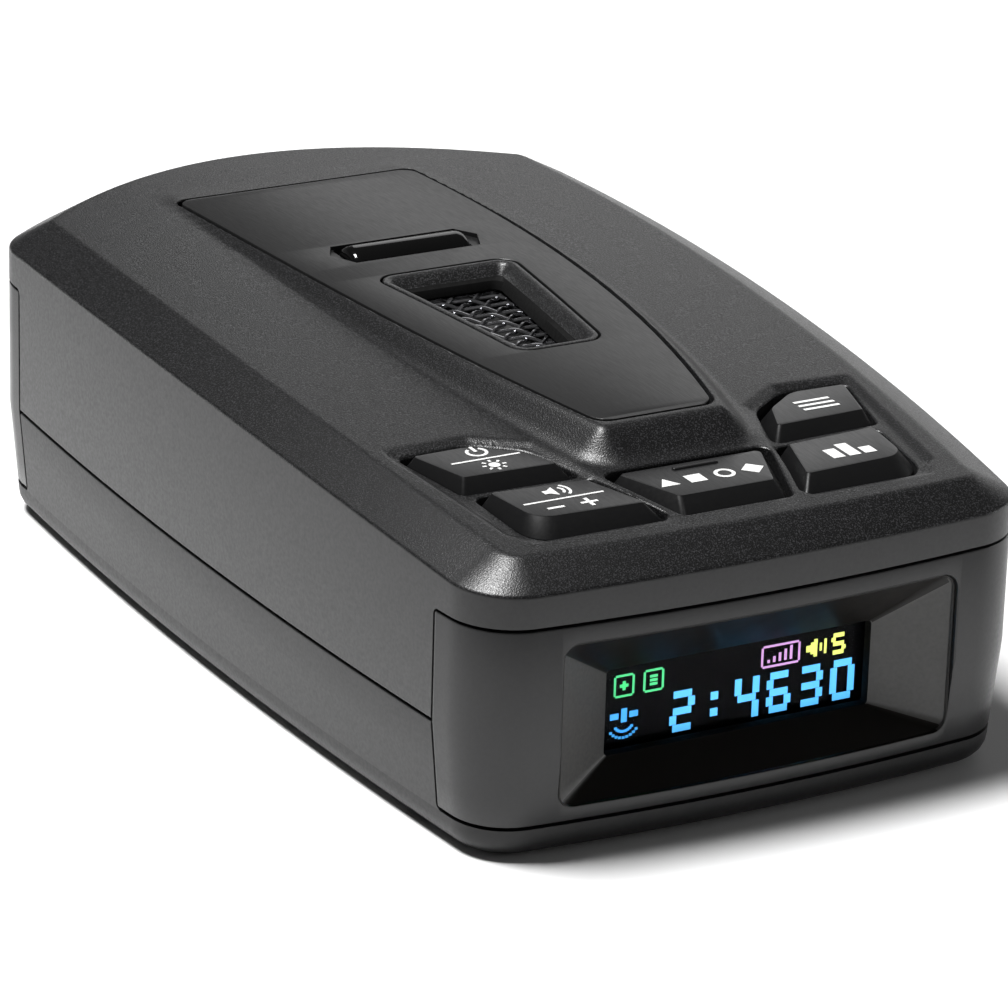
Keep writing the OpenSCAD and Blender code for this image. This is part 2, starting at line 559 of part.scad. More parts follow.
top_shell();
bottom_shell();
front_bezel();
rear_window();
display_surround();
display_window();
oled_module();
display_board();
display_ribbon();
hood_plate();
laser_light_pipe();
grille_frame();
grille_mesh();
power_button();
quiet_button();
function_button();
city_button();
menu_button();
power_plunger();
quiet_plunger();
function_plunger();
city_plunger();
menu_plunger();
switch_bodies();
switch_board();
key_ribbon();
main_board();
chips();
capacitors();
rf_shield();
gps_antenna();
horn_antenna();
laser_lens();
light_sensors();
speaker_basket();
speaker_cone();
speaker_magnet();
power_socket();
usb_socket();
case_screws();
board_screws();
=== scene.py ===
"""Looks of a dashboard radar detector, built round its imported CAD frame.

Shapes are drawn in millimetres: x across, s from the display end to the windscreen end, z up.
Each finished piece is then put in the frame, in metres, with its object at the origin.
"""
import logging
import math
from contextlib import contextmanager
from dataclasses import dataclass, field
from enum import Enum
from typing import Callable, Iterator, Sequence

import bmesh
import bpy
from mathutils import Matrix, Vector


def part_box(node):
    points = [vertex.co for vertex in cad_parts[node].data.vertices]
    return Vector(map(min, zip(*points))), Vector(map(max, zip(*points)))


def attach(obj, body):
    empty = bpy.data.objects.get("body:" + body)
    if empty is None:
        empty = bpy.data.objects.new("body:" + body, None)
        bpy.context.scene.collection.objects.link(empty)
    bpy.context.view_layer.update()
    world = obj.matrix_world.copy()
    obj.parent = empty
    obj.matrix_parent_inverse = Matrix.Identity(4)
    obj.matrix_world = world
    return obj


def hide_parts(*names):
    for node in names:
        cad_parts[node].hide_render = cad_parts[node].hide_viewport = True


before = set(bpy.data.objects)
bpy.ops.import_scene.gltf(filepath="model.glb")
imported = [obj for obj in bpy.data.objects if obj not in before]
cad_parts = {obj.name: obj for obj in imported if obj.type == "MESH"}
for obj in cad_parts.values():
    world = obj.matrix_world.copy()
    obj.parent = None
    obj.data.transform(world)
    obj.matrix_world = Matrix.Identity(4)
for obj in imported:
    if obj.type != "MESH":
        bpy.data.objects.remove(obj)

log = logging.getLogger("radar_detector")
MM = 0.001
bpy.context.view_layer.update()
Point = tuple[float, float]
Ring = list[Vector]


# ---------------------------------------------------------------- shape of the case
def smooth(t: float) -> float:
    """Returns a soft step from 0 to 1 as t goes from 0 to 1."""
    t = min(1.0, max(0.0, t))
    return t * t * (3 - 2 * t)


@dataclass(frozen=True)
class CaseShape:
    """Outline and upper surface of the case, in millimetres."""

    length: float
    half_w: float
    side_bow: float = 2.8
    lean: float = 1.35
    front_h: float = 29.6
    wedge: float = 2.5
    crown: float = 2.35
    corner_r: float = 6.8
    front_bow: float = 0.0021
    rear_bow: float = 0.0132
    parting_z: float = 12.6
    bevel_side: float = 4.8
    bevel_end: float = 3.8
    bevel_h: float = 2.5
    side_drop: float = 0.56
    hood_s: float = 17.0
    hood_h: float = 2.75
    hood_run: float = 83.0
    plate_half: float = 14.0
    plate_narrowing: float = 7.9
    plate_wide_s: float = 100.0
    plate_run: float = 78.0
    front_steps: int = 40
    side_steps: int = 104
    rear_steps: int = 26

    @classmethod
    def from_frame(cls) -> "CaseShape":
        """Reads the length and the width of the case from the CAD frame.

        Returns:
            The shape, in millimetres.
        """
        low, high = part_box("top_shell")
        widest = (high.x - low.x) / 2 / MM
        return cls(length=(high.y - low.y) / MM, half_w=widest - cls.lean ** 2 / (4 * cls.side_bow))

    def along(self, s: float) -> float:
        """Returns -1 at the display end and 1 at the windscreen end."""
        return (s - self.length / 2) / (self.length / 2)

    def side_x(self, s: float) -> float:
        """Returns half of the width at a distance from the front."""
        return self.half_w - self.side_bow * self.along(s) ** 2 + self.lean * self.along(s)

    def side_slope(self, s: float) -> float:
        """Returns how fast the side moves outwards along the case."""
        return (-2 * self.side_bow * self.along(s) + self.lean) / (self.length / 2)

    def front_y(self, x: float) -> float:
        """Returns the front edge at a place across the case."""
        return self.front_bow * x * x

    def rear_y(self, x: float) -> float:
        """Returns the rear edge at a place across the case."""
        return self.length - self.rear_bow * x * x

    def top_z(self, x: float, s: float) -> float:
        """Returns the height of the upper surface without the hood."""
        rise = self.wedge * s / self.length + self.crown * (1 - self.along(s) ** 2)
        return self.front_h + rise - self.across(x)

    def across(self, x: float) -> float:
        """Returns how much lower the upper surface is at a place across the case."""
        return self.side_drop * (x / 30) ** 2

    def hood_rise(self, s: float) -> float:
        """Returns how far the hood stands above the upper surface."""
        return max(0.02, self.hood_h * (1 - (s - 18) / self.hood_run))

    def plate_w(self, s: float) -> float:
        """Returns half of the width of the hood plate."""
        near = max(0.0, self.plate_wide_s - s) / self.plate_run
        return self.plate_half - self.plate_narrowing * near ** 2.6

    def hood_z(self, s: float) -> float:
        """Returns the height of the hood on the middle line."""
        return self.top_z(0, s) + self.hood_rise(s)

    def hood_at(self, x: float, s: float) -> float:
        """Returns how much the hood adds to the upper surface at a point.

        Args:
            x: Place across the case.
            s: Place along the case, from the front.

        Returns:
            The extra height there.
        """
        rise = self.hood_rise(s)
        foot = self.plate_w(s) + 0.7 + 1.5 * rise
        side = (foot - abs(x)) / (0.5 + 1.35 * rise)
        front = (s - self.hood_s) / 4.4
        gap = math.hypot(max(0.0, 1 - side), max(0.0, 1 - front))
        return (rise + self.across(x)) * self._flank(1 - gap) * smooth((106 - s) / 4.5)

    @staticmethod
    def _flank(u: float, foot: float = 0.42, lip: float = 0.14) -> float:
        """Returns the hood's profile: a wide hollow at the foot, a straight flank and a tight upper edge.

        Args:
            u: Share of the way up the flank, from its foot.
            foot: Share that the hollow at the foot takes.
            lip: Share that the upper edge takes.

        Returns:
            The height, as a share of the hood's rise.
        """
        u = max(0.0, min(1.0, u))
        slope = 2 / (2 - foot - lip)
        if u < foot:
            return slope * u * u / (2 * foot)
        if u < 1 - lip:
            return slope * (u - foot / 2)
        return 1 - slope * (1 - u) ** 2 / (2 * lip)

    def draft(self, z: float) -> float:
        """Returns how far in the side is below the parting line."""
        return 0.09 * max(0.0, self.parting_z - z)

    def _corner_centres(self) -> tuple[Point, Point]:
        """Finds the centres of the right-hand corners' arcs by a few steps of correction.

        Returns:
            The front and the rear centre.
        """
        r = self.corner_r
        front = (self.half_w - 12, r)
        rear = (self.half_w - 8, self.length - 16)
        for _ in range(8):
            turn = math.atan(2 * self.front_bow * front[0])
            lean = math.atan(self.side_slope(front[1]))
            front = (self.side_x(front[1] - r * math.sin(lean)) - r * math.cos(lean),
                     self.front_y(front[0] + r * math.sin(turn)) + r * math.cos(turn))
            angle = math.atan2(1, 2 * self.rear_bow * (rear[0] + r * 0.55))
            lean = math.atan(self.side_slope(rear[1]))
            rear = (self.side_x(rear[1]) - r * math.cos(lean),
                    self.rear_y(rear[0] + r * math.cos(angle)) - r * math.sin(angle))
        return front, rear

    def outline(self) -> list[tuple[float, float, float, float]]:
        """Returns the outline as points with outward normals, anticlockwise from the front's middle.

        Returns:
            One (x, s, normal x, normal s) for each point.
        """
        r = self.corner_r
        front, rear = self._corner_centres()
        front_arc = (math.atan(2 * self.front_bow * front[0]) - math.pi / 2,
                     -math.atan(self.side_slope(front[1])))
        rear_arc = (-math.atan(self.side_slope(rear[1])),
                    math.atan2(1, 2 * self.rear_bow * (rear[0] + r * 0.55)))
        half = []
        front_x = front[0] + r * math.cos(front_arc[0])
        for i in range(self.front_steps):
            x = front_x * i / self.front_steps
            half.append(self._on_curve(x, self.front_y(x), 2 * self.front_bow * x, -1))
        half += self._arc(front, front_arc, 20)
        s0, s1 = front[1] + r * math.sin(front_arc[1]), rear[1] + r * math.sin(rear_arc[0])
        for i in range(1, self.side_steps):
            t = i / self.side_steps
            s = s0 + (s1 - s0) * t * (0.55 + 0.45 * t)
            half.append(self._on_curve(self.side_x(s), s, 1, -self.side_slope(s)))
        half += self._arc(rear, rear_arc, 14)
        rear_x = rear[0] + r * math.cos(rear_arc[1])
        for i in range(1, self.rear_steps + 1):
            x = rear_x * (1 - i / self.rear_steps)
            half.append(self._on_curve(x, self.rear_y(x), 2 * self.rear_bow * x, 1))
        return half + [(-x, s, -nx, ns) for x, s, nx, ns in half[-2:0:-1]]

    @staticmethod
    def _on_curve(x: float, s: float, nx: float, ns: float) -> tuple[float, float, float, float]:
        """Returns a point with its normal made one long."""
        size = math.hypot(nx, ns)
        return (x, s, nx / size, ns / size)

    def _arc(self, centre: Point, angles: Point, steps: int) -> list[tuple[float, float, float, float]]:
        """Returns the points of a corner's arc, both ends included.

        Args:
            centre: Centre of the arc.
            angles: Where it starts and ends, in radians.
            steps: Segments on it.

        Returns:
            One (x, s, normal x, normal s) for each point.
        """
        turns = [angles[0] + (angles[1] - angles[0]) * i / steps for i in range(steps + 1)]
        return [(centre[0] + self.corner_r * math.cos(t), centre[1] + self.corner_r * math.sin(t),
                 math.cos(t), math.sin(t)) for t in turns]


SHAPE = CaseShape.from_frame()
OUTLINE = SHAPE.outline()


def bevel_of(point: Sequence[float]) -> float:
    """Returns the width of the edge bevel at an outline point."""
    return SHAPE.bevel_side * point[2] ** 2 + SHAPE.bevel_end * point[3] ** 2


def inset(point: Sequence[float], d: float) -> Point:
    """Returns an outline point moved inwards by d."""
    return (point[0] - point[2] * d, point[1] - point[3] * d)


def flat_ring(d: float, z: float) -> Ring:
    """Returns the outline moved inwards by d, at one height."""
    return [Vector((*inset(p, d), z)) for p in OUTLINE]


# ---------------------------------------------------------------- modelling helpers
@contextmanager
def editing(piece: bpy.types.Object) -> Iterator[None]:
    """Opens a piece alone in edit mode, in face mode with nothing selected.

    Args:
        piece: The mesh object to edit.

    Yields:
        Nothing, while the piece is open.
    """
    bpy.ops.object.select_all(action="DESELECT")
    piece.select_set(True)
    bpy.context.view_layer.objects.active = piece
    bpy.ops.object.mode_set(mode="EDIT")
    bpy.ops.mesh.select_mode(type="FACE")
    bpy.ops.mesh.select_all(action="DESELECT")
    yield
    bpy.ops.object.mode_set(mode="OBJECT")


def pick(piece: bpy.types.Object, faces: Callable[[bmesh.types.BMFace], bool]) -> None:
    """Selects the faces of the piece in edit mode that pass a test.

    Args:
        piece: The piece that is open in edit mode.
        faces: Says whether a face is picked.
    """
    bpy.ops.mesh.select_all(action="DESELECT")
    mesh = bmesh.from_edit_mesh(piece.data)
    for face in mesh.faces:
        if faces(face):
            face.select_set(True)
    mesh.select_flush_mode()
    bmesh.update_edit_mesh(piece.data)


def add(kind: str, name: str, **settings) -> bpy.types.Object:
    """Adds a primitive by the name of its operator and returns it.

    Args:
        kind: cube, circle, cylinder, uv_sphere, plane, grid or torus.
        name: The name of the new object.
        settings: The operator's own arguments, in millimetres.

    Returns:
        The new object.
    """
    bpy.ops.object.select_all(action="DESELECT")
    getattr(bpy.ops.mesh, f"primitive_{kind}_add")(**settings)
    piece = bpy.context.object
    piece.name = piece.data.name = name
    return piece


def block(name: str, x: Point, s: Point, z: Point) -> bpy.types.Object:
    """Adds a box between two corners, with its place in its mesh.

    Args:
        name: The new object's name.
        x: Its two ends across the case.
        s: Its two ends along the case.
        z: Its bottom and its top.

    Returns:
        The box.
    """
    centre = ((x[0] + x[1]) / 2, (s[0] + s[1]) / 2, (z[0] + z[1]) / 2)
    piece = add("cube", name, size=1, location=centre)
    piece.scale = (x[1] - x[0], s[1] - s[0], z[1] - z[0])
    bpy.ops.object.transform_apply(location=True, rotation=True, scale=True)
    return piece


def bevelled(piece: bpy.types.Object, width: float, segments: int = 3, angle: float = 35) -> None:
    """Rounds the sharp edges of a piece and applies the modifier.

    Args:
        piece: The piece to round off.
        width: Width of the rounding.
        segments: Steps across it.
        angle: Edges sharper than this are rounded, in degrees.
    """
    modifier = piece.modifiers.new("edges", "BEVEL")
    modifier.width = width
    modifier.segments = segments
    modifier.limit_method = "ANGLE"
    modifier.angle_limit = math.radians(angle)
    modifier.harden_normals = False
    apply(piece, modifier)


def apply(piece: bpy.types.Object, modifier: bpy.types.Modifier) -> None:
    """Applies a modifier with its own operator.

    Args:
        piece: The piece that has the modifier.
        modifier: The modifier.
    """
    bpy.ops.object.select_all(action="DESELECT")
    piece.select_set(True)
    bpy.context.view_layer.objects.active = piece
    bpy.ops.object.modifier_apply(modifier=modifier.name)


def cut(piece: bpy.types.Object, tool: bpy.types.Object, how: str = "DIFFERENCE") -> None:
    """Cuts a piece with another, joins or intersects them, and removes the tool.

    Args:
        piece: The piece to change.
        tool: The other piece, used up.
        how: DIFFERENCE, UNION or INTERSECT.
    """
    modifier = piece.modifiers.new("cut", "BOOLEAN")
    modifier.operation = how
    modifier.object = tool
    modifier.solver = "EXACT"
    apply(piece, modifier)
    bpy.data.objects.remove(tool, do_unlink=True)


def joined(pieces: Sequence[bpy.types.Object], name: str) -> bpy.types.Object:
    """Joins several objects into one mesh and returns it.

    Args:
        pieces: The objects, of which the first one stays.
        name: Its new name.

    Returns:
        The joined object.
    """
    bpy.ops.object.select_all(action="DESELECT")
    for piece in pieces:
        piece.select_set(True)
    bpy.context.view_layer.objects.active = pieces[0]
    bpy.ops.object.join()
    pieces[0].name = pieces[0].data.name = name
    return pieces[0]


def turned(piece: bpy.types.Object, matrix: Matrix) -> bpy.types.Object:
    """Moves or turns a piece inside its mesh.

    Args:
        piece: The piece.
        matrix: The move or turn; a mirror is allowed.

    Returns:
        The same piece.
    """
    piece.data.transform(matrix)
    if matrix.determinant() < 0:
        piece.data.flip_normals()
    return piece


def mirrored(piece: bpy.types.Object, name: str) -> bpy.types.Object:
    """Returns a left-hand copy of a right-hand piece, with its own mesh.

    Args:
        piece: The right-hand piece.
        name: The copy's name.

    Returns:
        The copy.
    """
    twin = piece.copy()
    twin.data = piece.data.copy()
    twin.name = twin.data.name = name
    bpy.context.scene.collection.objects.link(twin)
    return turned(twin, Matrix.Scale(-1, 4, (1, 0, 0)))


class RingStack:
    """A shell drawn ring by ring: a circle is laid on the first ring and extruded to each next one."""

    def __init__(self, name: str, first: Ring) -> None:
        """Starts the stack with its first ring.

        Args:
            name: The shell's name.
            first: Places of the first ring's points.
        """
        self.piece = add("circle", name, vertices=len(first), radius=1)
        mesh = self.piece.data
        order = mesh.attributes.new("place", "INT", "POINT")
        order.data.foreach_set("value", range(len(first)))
        for vertex, place in zip(mesh.vertices, first):
            vertex.co = place
        bpy.ops.object.mode_set(mode="EDIT")
        bpy.ops.mesh.select_mode(type="EDGE")
        bpy.ops.mesh.select_all(action="SELECT")

    def fill(self) -> "RingStack":
        """Closes the first ring with a face and leaves the ring selected for the next extrusion."""
        bpy.ops.mesh.edge_face_add()
        return self

    def to(self, ring: Ring) -> "RingStack":
        """Extrudes the selected ring and lays the new one on the given places.

        Args:
            ring: Places of the new ring's points, in the first ring's order.

        Returns:
            The stack itself, for the next ring.
        """
        bpy.ops.mesh.extrude_edges_move()
        mesh = bmesh.from_edit_mesh(self.piece.data)
        place = mesh.verts.layers.int["place"]
        for vertex in mesh.verts:
            if vertex.select:
                vertex.co = ring[vertex[place]]
        bmesh.update_edit_mesh(self.piece.data)
        return self

    def point(self) -> bpy.types.Object:
        """Closes the last ring to a point and leaves edit mode."""
        bpy.ops.mesh.merge(type="CENTER")
        return self._leave()

    def cap(self) -> bpy.types.Object:
        """Closes the last ring with one flat face and leaves edit mode."""
        bpy.ops.mesh.edge_face_add()
        return self._leave()

    def loop(self, first: Ring) -> bpy.types.Object:
        """Joins the last ring to the first one and leaves edit mode.

        Args:
            first: Places of the first ring's points.

        Returns:
            The closed shell.
        """
        self.to(first)
        bpy.ops.mesh.select_all(action="SELECT")
        bpy.ops.mesh.remove_doubles(threshold=1e-4)
        return self._leave()

    def _leave(self) -> bpy.types.Object:
        """Turns all faces outwards and returns to object mode.

        Returns:
            The finished shell.
        """
        bpy.ops.mesh.select_all(action="SELECT")
        bpy.ops.mesh.normals_make_consistent(inside=False)
        bpy.ops.object.mode_set(mode="OBJECT")
        self.piece.data.attributes.remove(self.piece.data.attributes["place"])
        return self.piece


def rounded(points: Sequence[Sequence[float]], steps: int = 6, splits: int = 1) -> list[Point]:
    """Returns a flat outline with round corners.

    Args:
        points: Corners as (x, s, radius), anticlockwise.
        steps: Segments on each corner.
        splits: Segments on each straight side.

    Returns:
        The outline's points, steps + splits for each corner.
    """
    out = []
    count = len(points)
    for i, (x, s, r) in enumerate(points):
        corner = Vector((x, s))
        before = (Vector(points[i - 1][:2]) - corner).normalized()
        after = (Vector(points[(i + 1) % count][:2]) - corner).normalized()
        half = math.acos(max(-1.0, min(1.0, before.dot(after)))) / 2
        r = max(r, 0.02)
        centre = corner + (before + after).normalized() * (r / math.sin(half))
        start = corner + before * (r / math.tan(half)) - centre
        sweep = start.angle_signed(corner + after * (r / math.tan(half)) - centre)
        for k in range(steps + 1):
            turn = Matrix.Rotation(-sweep * k / steps, 2)
            out.append(tuple(centre + turn @ start))
    if splits > 1:
        out = _split_sides(out, steps, splits)
    return out


def _split_sides(points: list[Point], steps: int, splits: int) -> list[Point]:
    """Adds points along the straight sides that follow each corner's arc.

    Args:
        points: An outline made by rounded().
        steps: Segments on each corner.
        splits: Segments on each straight side.

    Returns:
        The outline with the added points.
    """
    out = []
    for i, a in enumerate(points):
        out.append(a)
        if i % (steps + 1) == steps:
            b = points[(i + 1) % len(points)]
            out += [(a[0] + (b[0] - a[0]) * k / splits, a[1] + (b[1] - a[1]) * k / splits)
                    for k in range(1, splits)]
    return out


def edge_distance(points: Sequence[Sequence[float]], x: float, s: float) -> float:
    """Returns how far a point is outside a convex outline, negative inside.

    Args:
        points: The outline, anticlockwise.
        x: Place across the case.
        s: Place along the case.

    Returns:
        The distance to the nearest side's line.
    """
    worst = -1e9
    for i, a in enumerate(points):
        b = points[(i + 1) % len(points)]
        ux, us = b[0] - a[0], b[1] - a[1]
        worst = max(worst, (us * (x - a[0]) - ux * (s - a[1])) / math.hypot(ux, us))
    return worst


def grown(points: Sequence[Sequence[float]], d: float) -> list[tuple[float, float, float]]:
    """Returns a convex outline with each side moved outwards by d.

    Args:
        points: Corners as (x, s, radius), anticlockwise.
        d: How far the sides move.

    Returns:
        The moved corners, with their radii grown too.
    """
    out = []
    for i, b in enumerate(points):
        a, c = points[i - 1], points[(i + 1) % len(points)]
        u = Vector((b[0] - a[0], b[1] - a[1])).normalized()
        v = Vector((c[0] - b[0], c[1] - b[1])).normalized()
        nu, nv = Vector((u.y, -u.x)), Vector((v.y, -v.x))
        shift = (nu + nv) * (d / (1 + nu.dot(nv)))
        out.append((b[0] + shift.x, b[1] + shift.y, max(0.05, b[2] + d)))
    return out


def place(piece: bpy.types.Object, nodes: Sequence[str], slot: str, finish: "Finish",
          body: str = "root", angle: float = 30) -> bpy.types.Object:
    """Puts a finished piece in the frame, dresses it and lets it ride on its body.

    Args:
        piece: The piece, drawn in millimetres.
        nodes: The CAD nodes that it stands for.
        slot: A material slot; not used.
        finish: Its finish.
        body: The CAD body that it moves with.
        angle: Edges sharper than this stay crisp, in degrees.

    Returns:
        The same piece.
    """
    piece.data.transform(Matrix.Scale(MM, 4) @ Matrix.Translation((0, -SHAPE.length / 2, 0)))
    bpy.ops.object.select_all(action="DESELECT")
    piece.select_set(True)
    bpy.context.view_layer.objects.active = piece
    bpy.ops.object.shade_smooth_by_angle(angle=math.radians(angle))
    if finish is not None:
        piece.data.materials.clear()
        piece.data.materials.append(finish.material())
    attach(piece, body)
    if nodes:
        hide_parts(*nodes)
    log.info("%s: %d faces, rides on %s", piece.name, len(piece.data.polygons), body)
    return piece


# ---------------------------------------------------------------- finishes
class Pattern(Enum):
    """Fine surface patterns."""

    SATIN = "satin"
    SPARKLE = "sparkle"
    BRUSHED = "brushed"
    GLOSS = "gloss"
    MOULDED = "moulded"
    METAL = "metal"
    BOARD = "board"
    PAPER = "paper"


@dataclass(frozen=True)
class Finish:
    """One finish: a colour, a gloss and a fine pattern, all read from Object coordinates."""

    name: str
    colour: tuple[float, float, float]
    roughness: float
    pattern: Pattern = Pattern.SATIN
    metallic: float = 0.0
    grain: float = 0.12
    bump: float = 0.1
    coat: float = 0.0
    specular: float = 0.5
    emission: float = 0.0
    transmission: float = 0.0
    variation: float = 0.05
    ior: float = 1.5

    def material(self) -> bpy.types.Material:
        """Returns the finish's material, made once and then shared."""
        found = bpy.data.materials.get(f"{self.name}_look")
        return found or self._build()

    def _build(self) -> bpy.types.Material:
        """Builds the node tree.

        Returns:
            The new material.
        """
        material = bpy.data.materials.new(f"{self.name}_look")
        material.use_nodes = True
        material.diffuse_color = (*self.colour, 1)
        tree = material.node_tree
        shader = tree.nodes["Principled BSDF"]
        for socket, value in (("Metallic", self.metallic), ("Specular IOR Level", self.specular),
                              ("IOR", self.ior), ("Coat Weight", self.coat), ("Coat Roughness", 0.08),
                              ("Transmission Weight", self.transmission)):
            shader.inputs[socket].default_value = value
        coords = tree.nodes.new("ShaderNodeTexCoord").outputs["Object"]
        if self.emission:
            shader.inputs["Emission Color"].default_value = (*self.colour, 1)
            shader.inputs["Emission Strength"].default_value = self.emission
        broad = self._noise(tree, coords, 60.0, 3.0)
        fine = self._fine(tree, coords)
        tint = self._mix(tree, broad, 1 - self.variation, 1 + self.variation)
        speck = self._speck(tree, fine)
        total = self._math(tree, "MULTIPLY", tint, speck)
        colour = tree.nodes.new("ShaderNodeVectorMath")
        colour.operation = "SCALE"
        colour.inputs[0].default_value = self.colour
        tree.links.new(total, colour.inputs["Scale"])
        tree.links.new(colour.outputs[0], shader.inputs["Base Color"])
        reach = 0.2 if self.pattern is Pattern.SPARKLE else 0.12
        rough = self._mix(tree, fine, self.roughness * (1 + reach), self.roughness * (1 - reach))
        tree.links.new(rough, shader.inputs["Roughness"])
        bump = tree.nodes.new("ShaderNodeBump")
        bump.inputs["Strength"].default_value = self.bump
        bump.inputs["Distance"].default_value = self.grain * MM
        tree.links.new(fine, bump.inputs["Height"])
        tree.links.new(bump.outputs[0], shader.inputs["Normal"])
        return material

    def _fine(self, tree: bpy.types.NodeTree, coords: bpy.types.NodeSocket) -> bpy.types.NodeSocket:
        """Returns the fine pattern's height, from 0 to 1.

        Args:
            tree: The material's node tree.
            coords: Object coordinates.

        Returns:
            The height's socket.
        """
        if self.pattern is Pattern.SPARKLE:
            return self._noise(tree, coords, 6800.0, 1.0)
        if self.pattern is Pattern.BRUSHED:
            mapping = tree.nodes.new("ShaderNodeMapping")
            mapping.inputs["Scale"].default_value = (22.0, 1.2, 6.0)
            mapping.inputs["Rotation"].default_value = (0, 0, math.radians(12))
            tree.links.new(coords, mapping.inputs["Vector"])
            return self._noise(tree, mapping.outputs[0], 420.0, 4.0)
        scales = {Pattern.SATIN: 2600.0, Pattern.GLOSS: 300.0, Pattern.MOULDED: 1800.0,
                  Pattern.METAL: 900.0, Pattern.BOARD: 700.0, Pattern.PAPER: 2200.0}
        return self._noise(tree, coords, scales[self.pattern], 3.0)

    def _speck(self, tree: bpy.types.NodeTree, fine: bpy.types.NodeSocket) -> bpy.types.NodeSocket:
        """Returns the brightness that the fine pattern gives, around 1.

        Args:
            tree: The material's node tree.
            fine: The fine pattern's height.

        Returns:
            The brightness's socket.
        """
        if self.pattern is Pattern.SPARKLE:
            ramp = tree.nodes.new("ShaderNodeMapRange")
            ramp.inputs["From Min"].default_value = 0.5
            ramp.inputs["From Max"].default_value = 0.7
            ramp.inputs["To Min"].default_value = 0.6
            ramp.inputs["To Max"].default_value = 6.5
            tree.links.new(fine, ramp.inputs["Value"])
            return ramp.outputs[0]
        reach = {Pattern.BRUSHED: 0.3, Pattern.BOARD: 0.2, Pattern.PAPER: 0.2}.get(self.pattern, 0.08)
        return self._mix(tree, fine, 1 - reach, 1 + reach)

    @staticmethod
    def _noise(tree: bpy.types.NodeTree, vector: bpy.types.NodeSocket, scale: float,
               detail: float) -> bpy.types.NodeSocket:
        """Adds a noise texture and returns its value.

        Args:
            tree: The material's node tree.
            vector: Where the noise is read.
            scale: How fine it is, per metre.
            detail: How many finer layers it has.

        Returns:
            The value's socket.
        """
        node = tree.nodes.new("ShaderNodeTexNoise")
        node.inputs["Scale"].default_value = scale
        node.inputs["Detail"].default_value = detail
        tree.links.new(vector, node.inputs["Vector"])
        return node.outputs["Fac"]

    @staticmethod
    def _mix(tree: bpy.types.NodeTree, value: bpy.types.NodeSocket, low: float,
             high: float) -> bpy.types.NodeSocket:
        """Maps the middle range of a noise to a range of values.

        Args:
            tree: The material's node tree.
            value: The noise.
            low: The value for its dark parts.
            high: The value for its bright parts.

        Returns:
            The mapped value's socket.
        """
        node = tree.nodes.new("ShaderNodeMapRange")
        node.inputs["From Min"].default_value = 0.3
        node.inputs["From Max"].default_value = 0.7
        node.inputs["To Min"].default_value = low
        node.inputs["To Max"].default_value = high
        tree.links.new(value, node.inputs["Value"])
        return node.outputs[0]

    @staticmethod
    def _math(tree: bpy.types.NodeTree, how: str, a: bpy.types.NodeSocket,
              b: bpy.types.NodeSocket) -> bpy.types.NodeSocket:
        """Combines two values.

        Args:
            tree: The material's node tree.
            how: The node's operation.
            a: The first value.
            b: The second value.

        Returns:
            The result's socket.
        """
        node = tree.nodes.new("ShaderNodeMath")
        node.operation = how
        tree.links.new(a, node.inputs[0])
        tree.links.new(b, node.inputs[1])
        return node.outputs[0]


TEXTURED = Finish("case_textured", (0.0065, 0.0065, 0.0068), 0.35, Pattern.SPARKLE, bump=0.5,
                  grain=0.06, specular=0.45)
SATIN = Finish("case_satin", (0.016, 0.016, 0.0165), 0.42, Pattern.SATIN, bump=0.12, grain=0.02)
BEZEL = Finish("bezel_satin", (0.014, 0.014, 0.0145), 0.36, Pattern.SATIN, bump=0.08, grain=0.02)
# Painted shade: a darker, less shiny copy of the side satin for the base strip. It stands in for the shade
# under the case's tucked-in foot.
BASE_SHADE = Finish("base_painted_shade", (0.013, 0.013, 0.0133), 0.42, Pattern.SATIN, bump=0.1,
              grain=0.02, specular=0.35)
REAR = Finish("window_black", (0.008, 0.008, 0.0085), 0.24, Pattern.GLOSS, bump=0.02, grain=0.03,
              specular=0.3)
SURROUND = Finish("surround_gloss", (0.006, 0.005, 0.0042), 0.36, Pattern.GLOSS, bump=0.02, grain=0.02,
                  specular=0.3)
# Painted light: a much lighter copy of the surround's black for the funnel's left and right slopes. It
# stands in for the light that they catch.
LIT_SLOPE = Finish("surround_painted_light", (0.055, 0.054, 0.052), 0.42, Pattern.SATIN, bump=0.04, grain=0.02)
PLATE = Finish("plate_brushed", (0.011, 0.011, 0.0112), 0.38, Pattern.BRUSHED, bump=0.4, grain=0.02,
               specular=0.42)
KEY_TOP = Finish("key_brushed", (0.018, 0.018, 0.0185), 0.36, Pattern.BRUSHED, bump=0.2, grain=0.02)
KEY_SKIRT = Finish("key_skirt", (0.006, 0.006, 0.0063), 0.42, Pattern.SATIN, bump=0.05, grain=0.02,
                   specular=0.25)
LIGHT_PIPE = Finish("light_pipe", (0.003, 0.003, 0.003), 0.1, Pattern.GLOSS, bump=0.01, specular=0.6)
WIRE = Finish("mesh_wire", (0.48, 0.48, 0.5), 0.24, Pattern.METAL, metallic=1.0, bump=0.05)
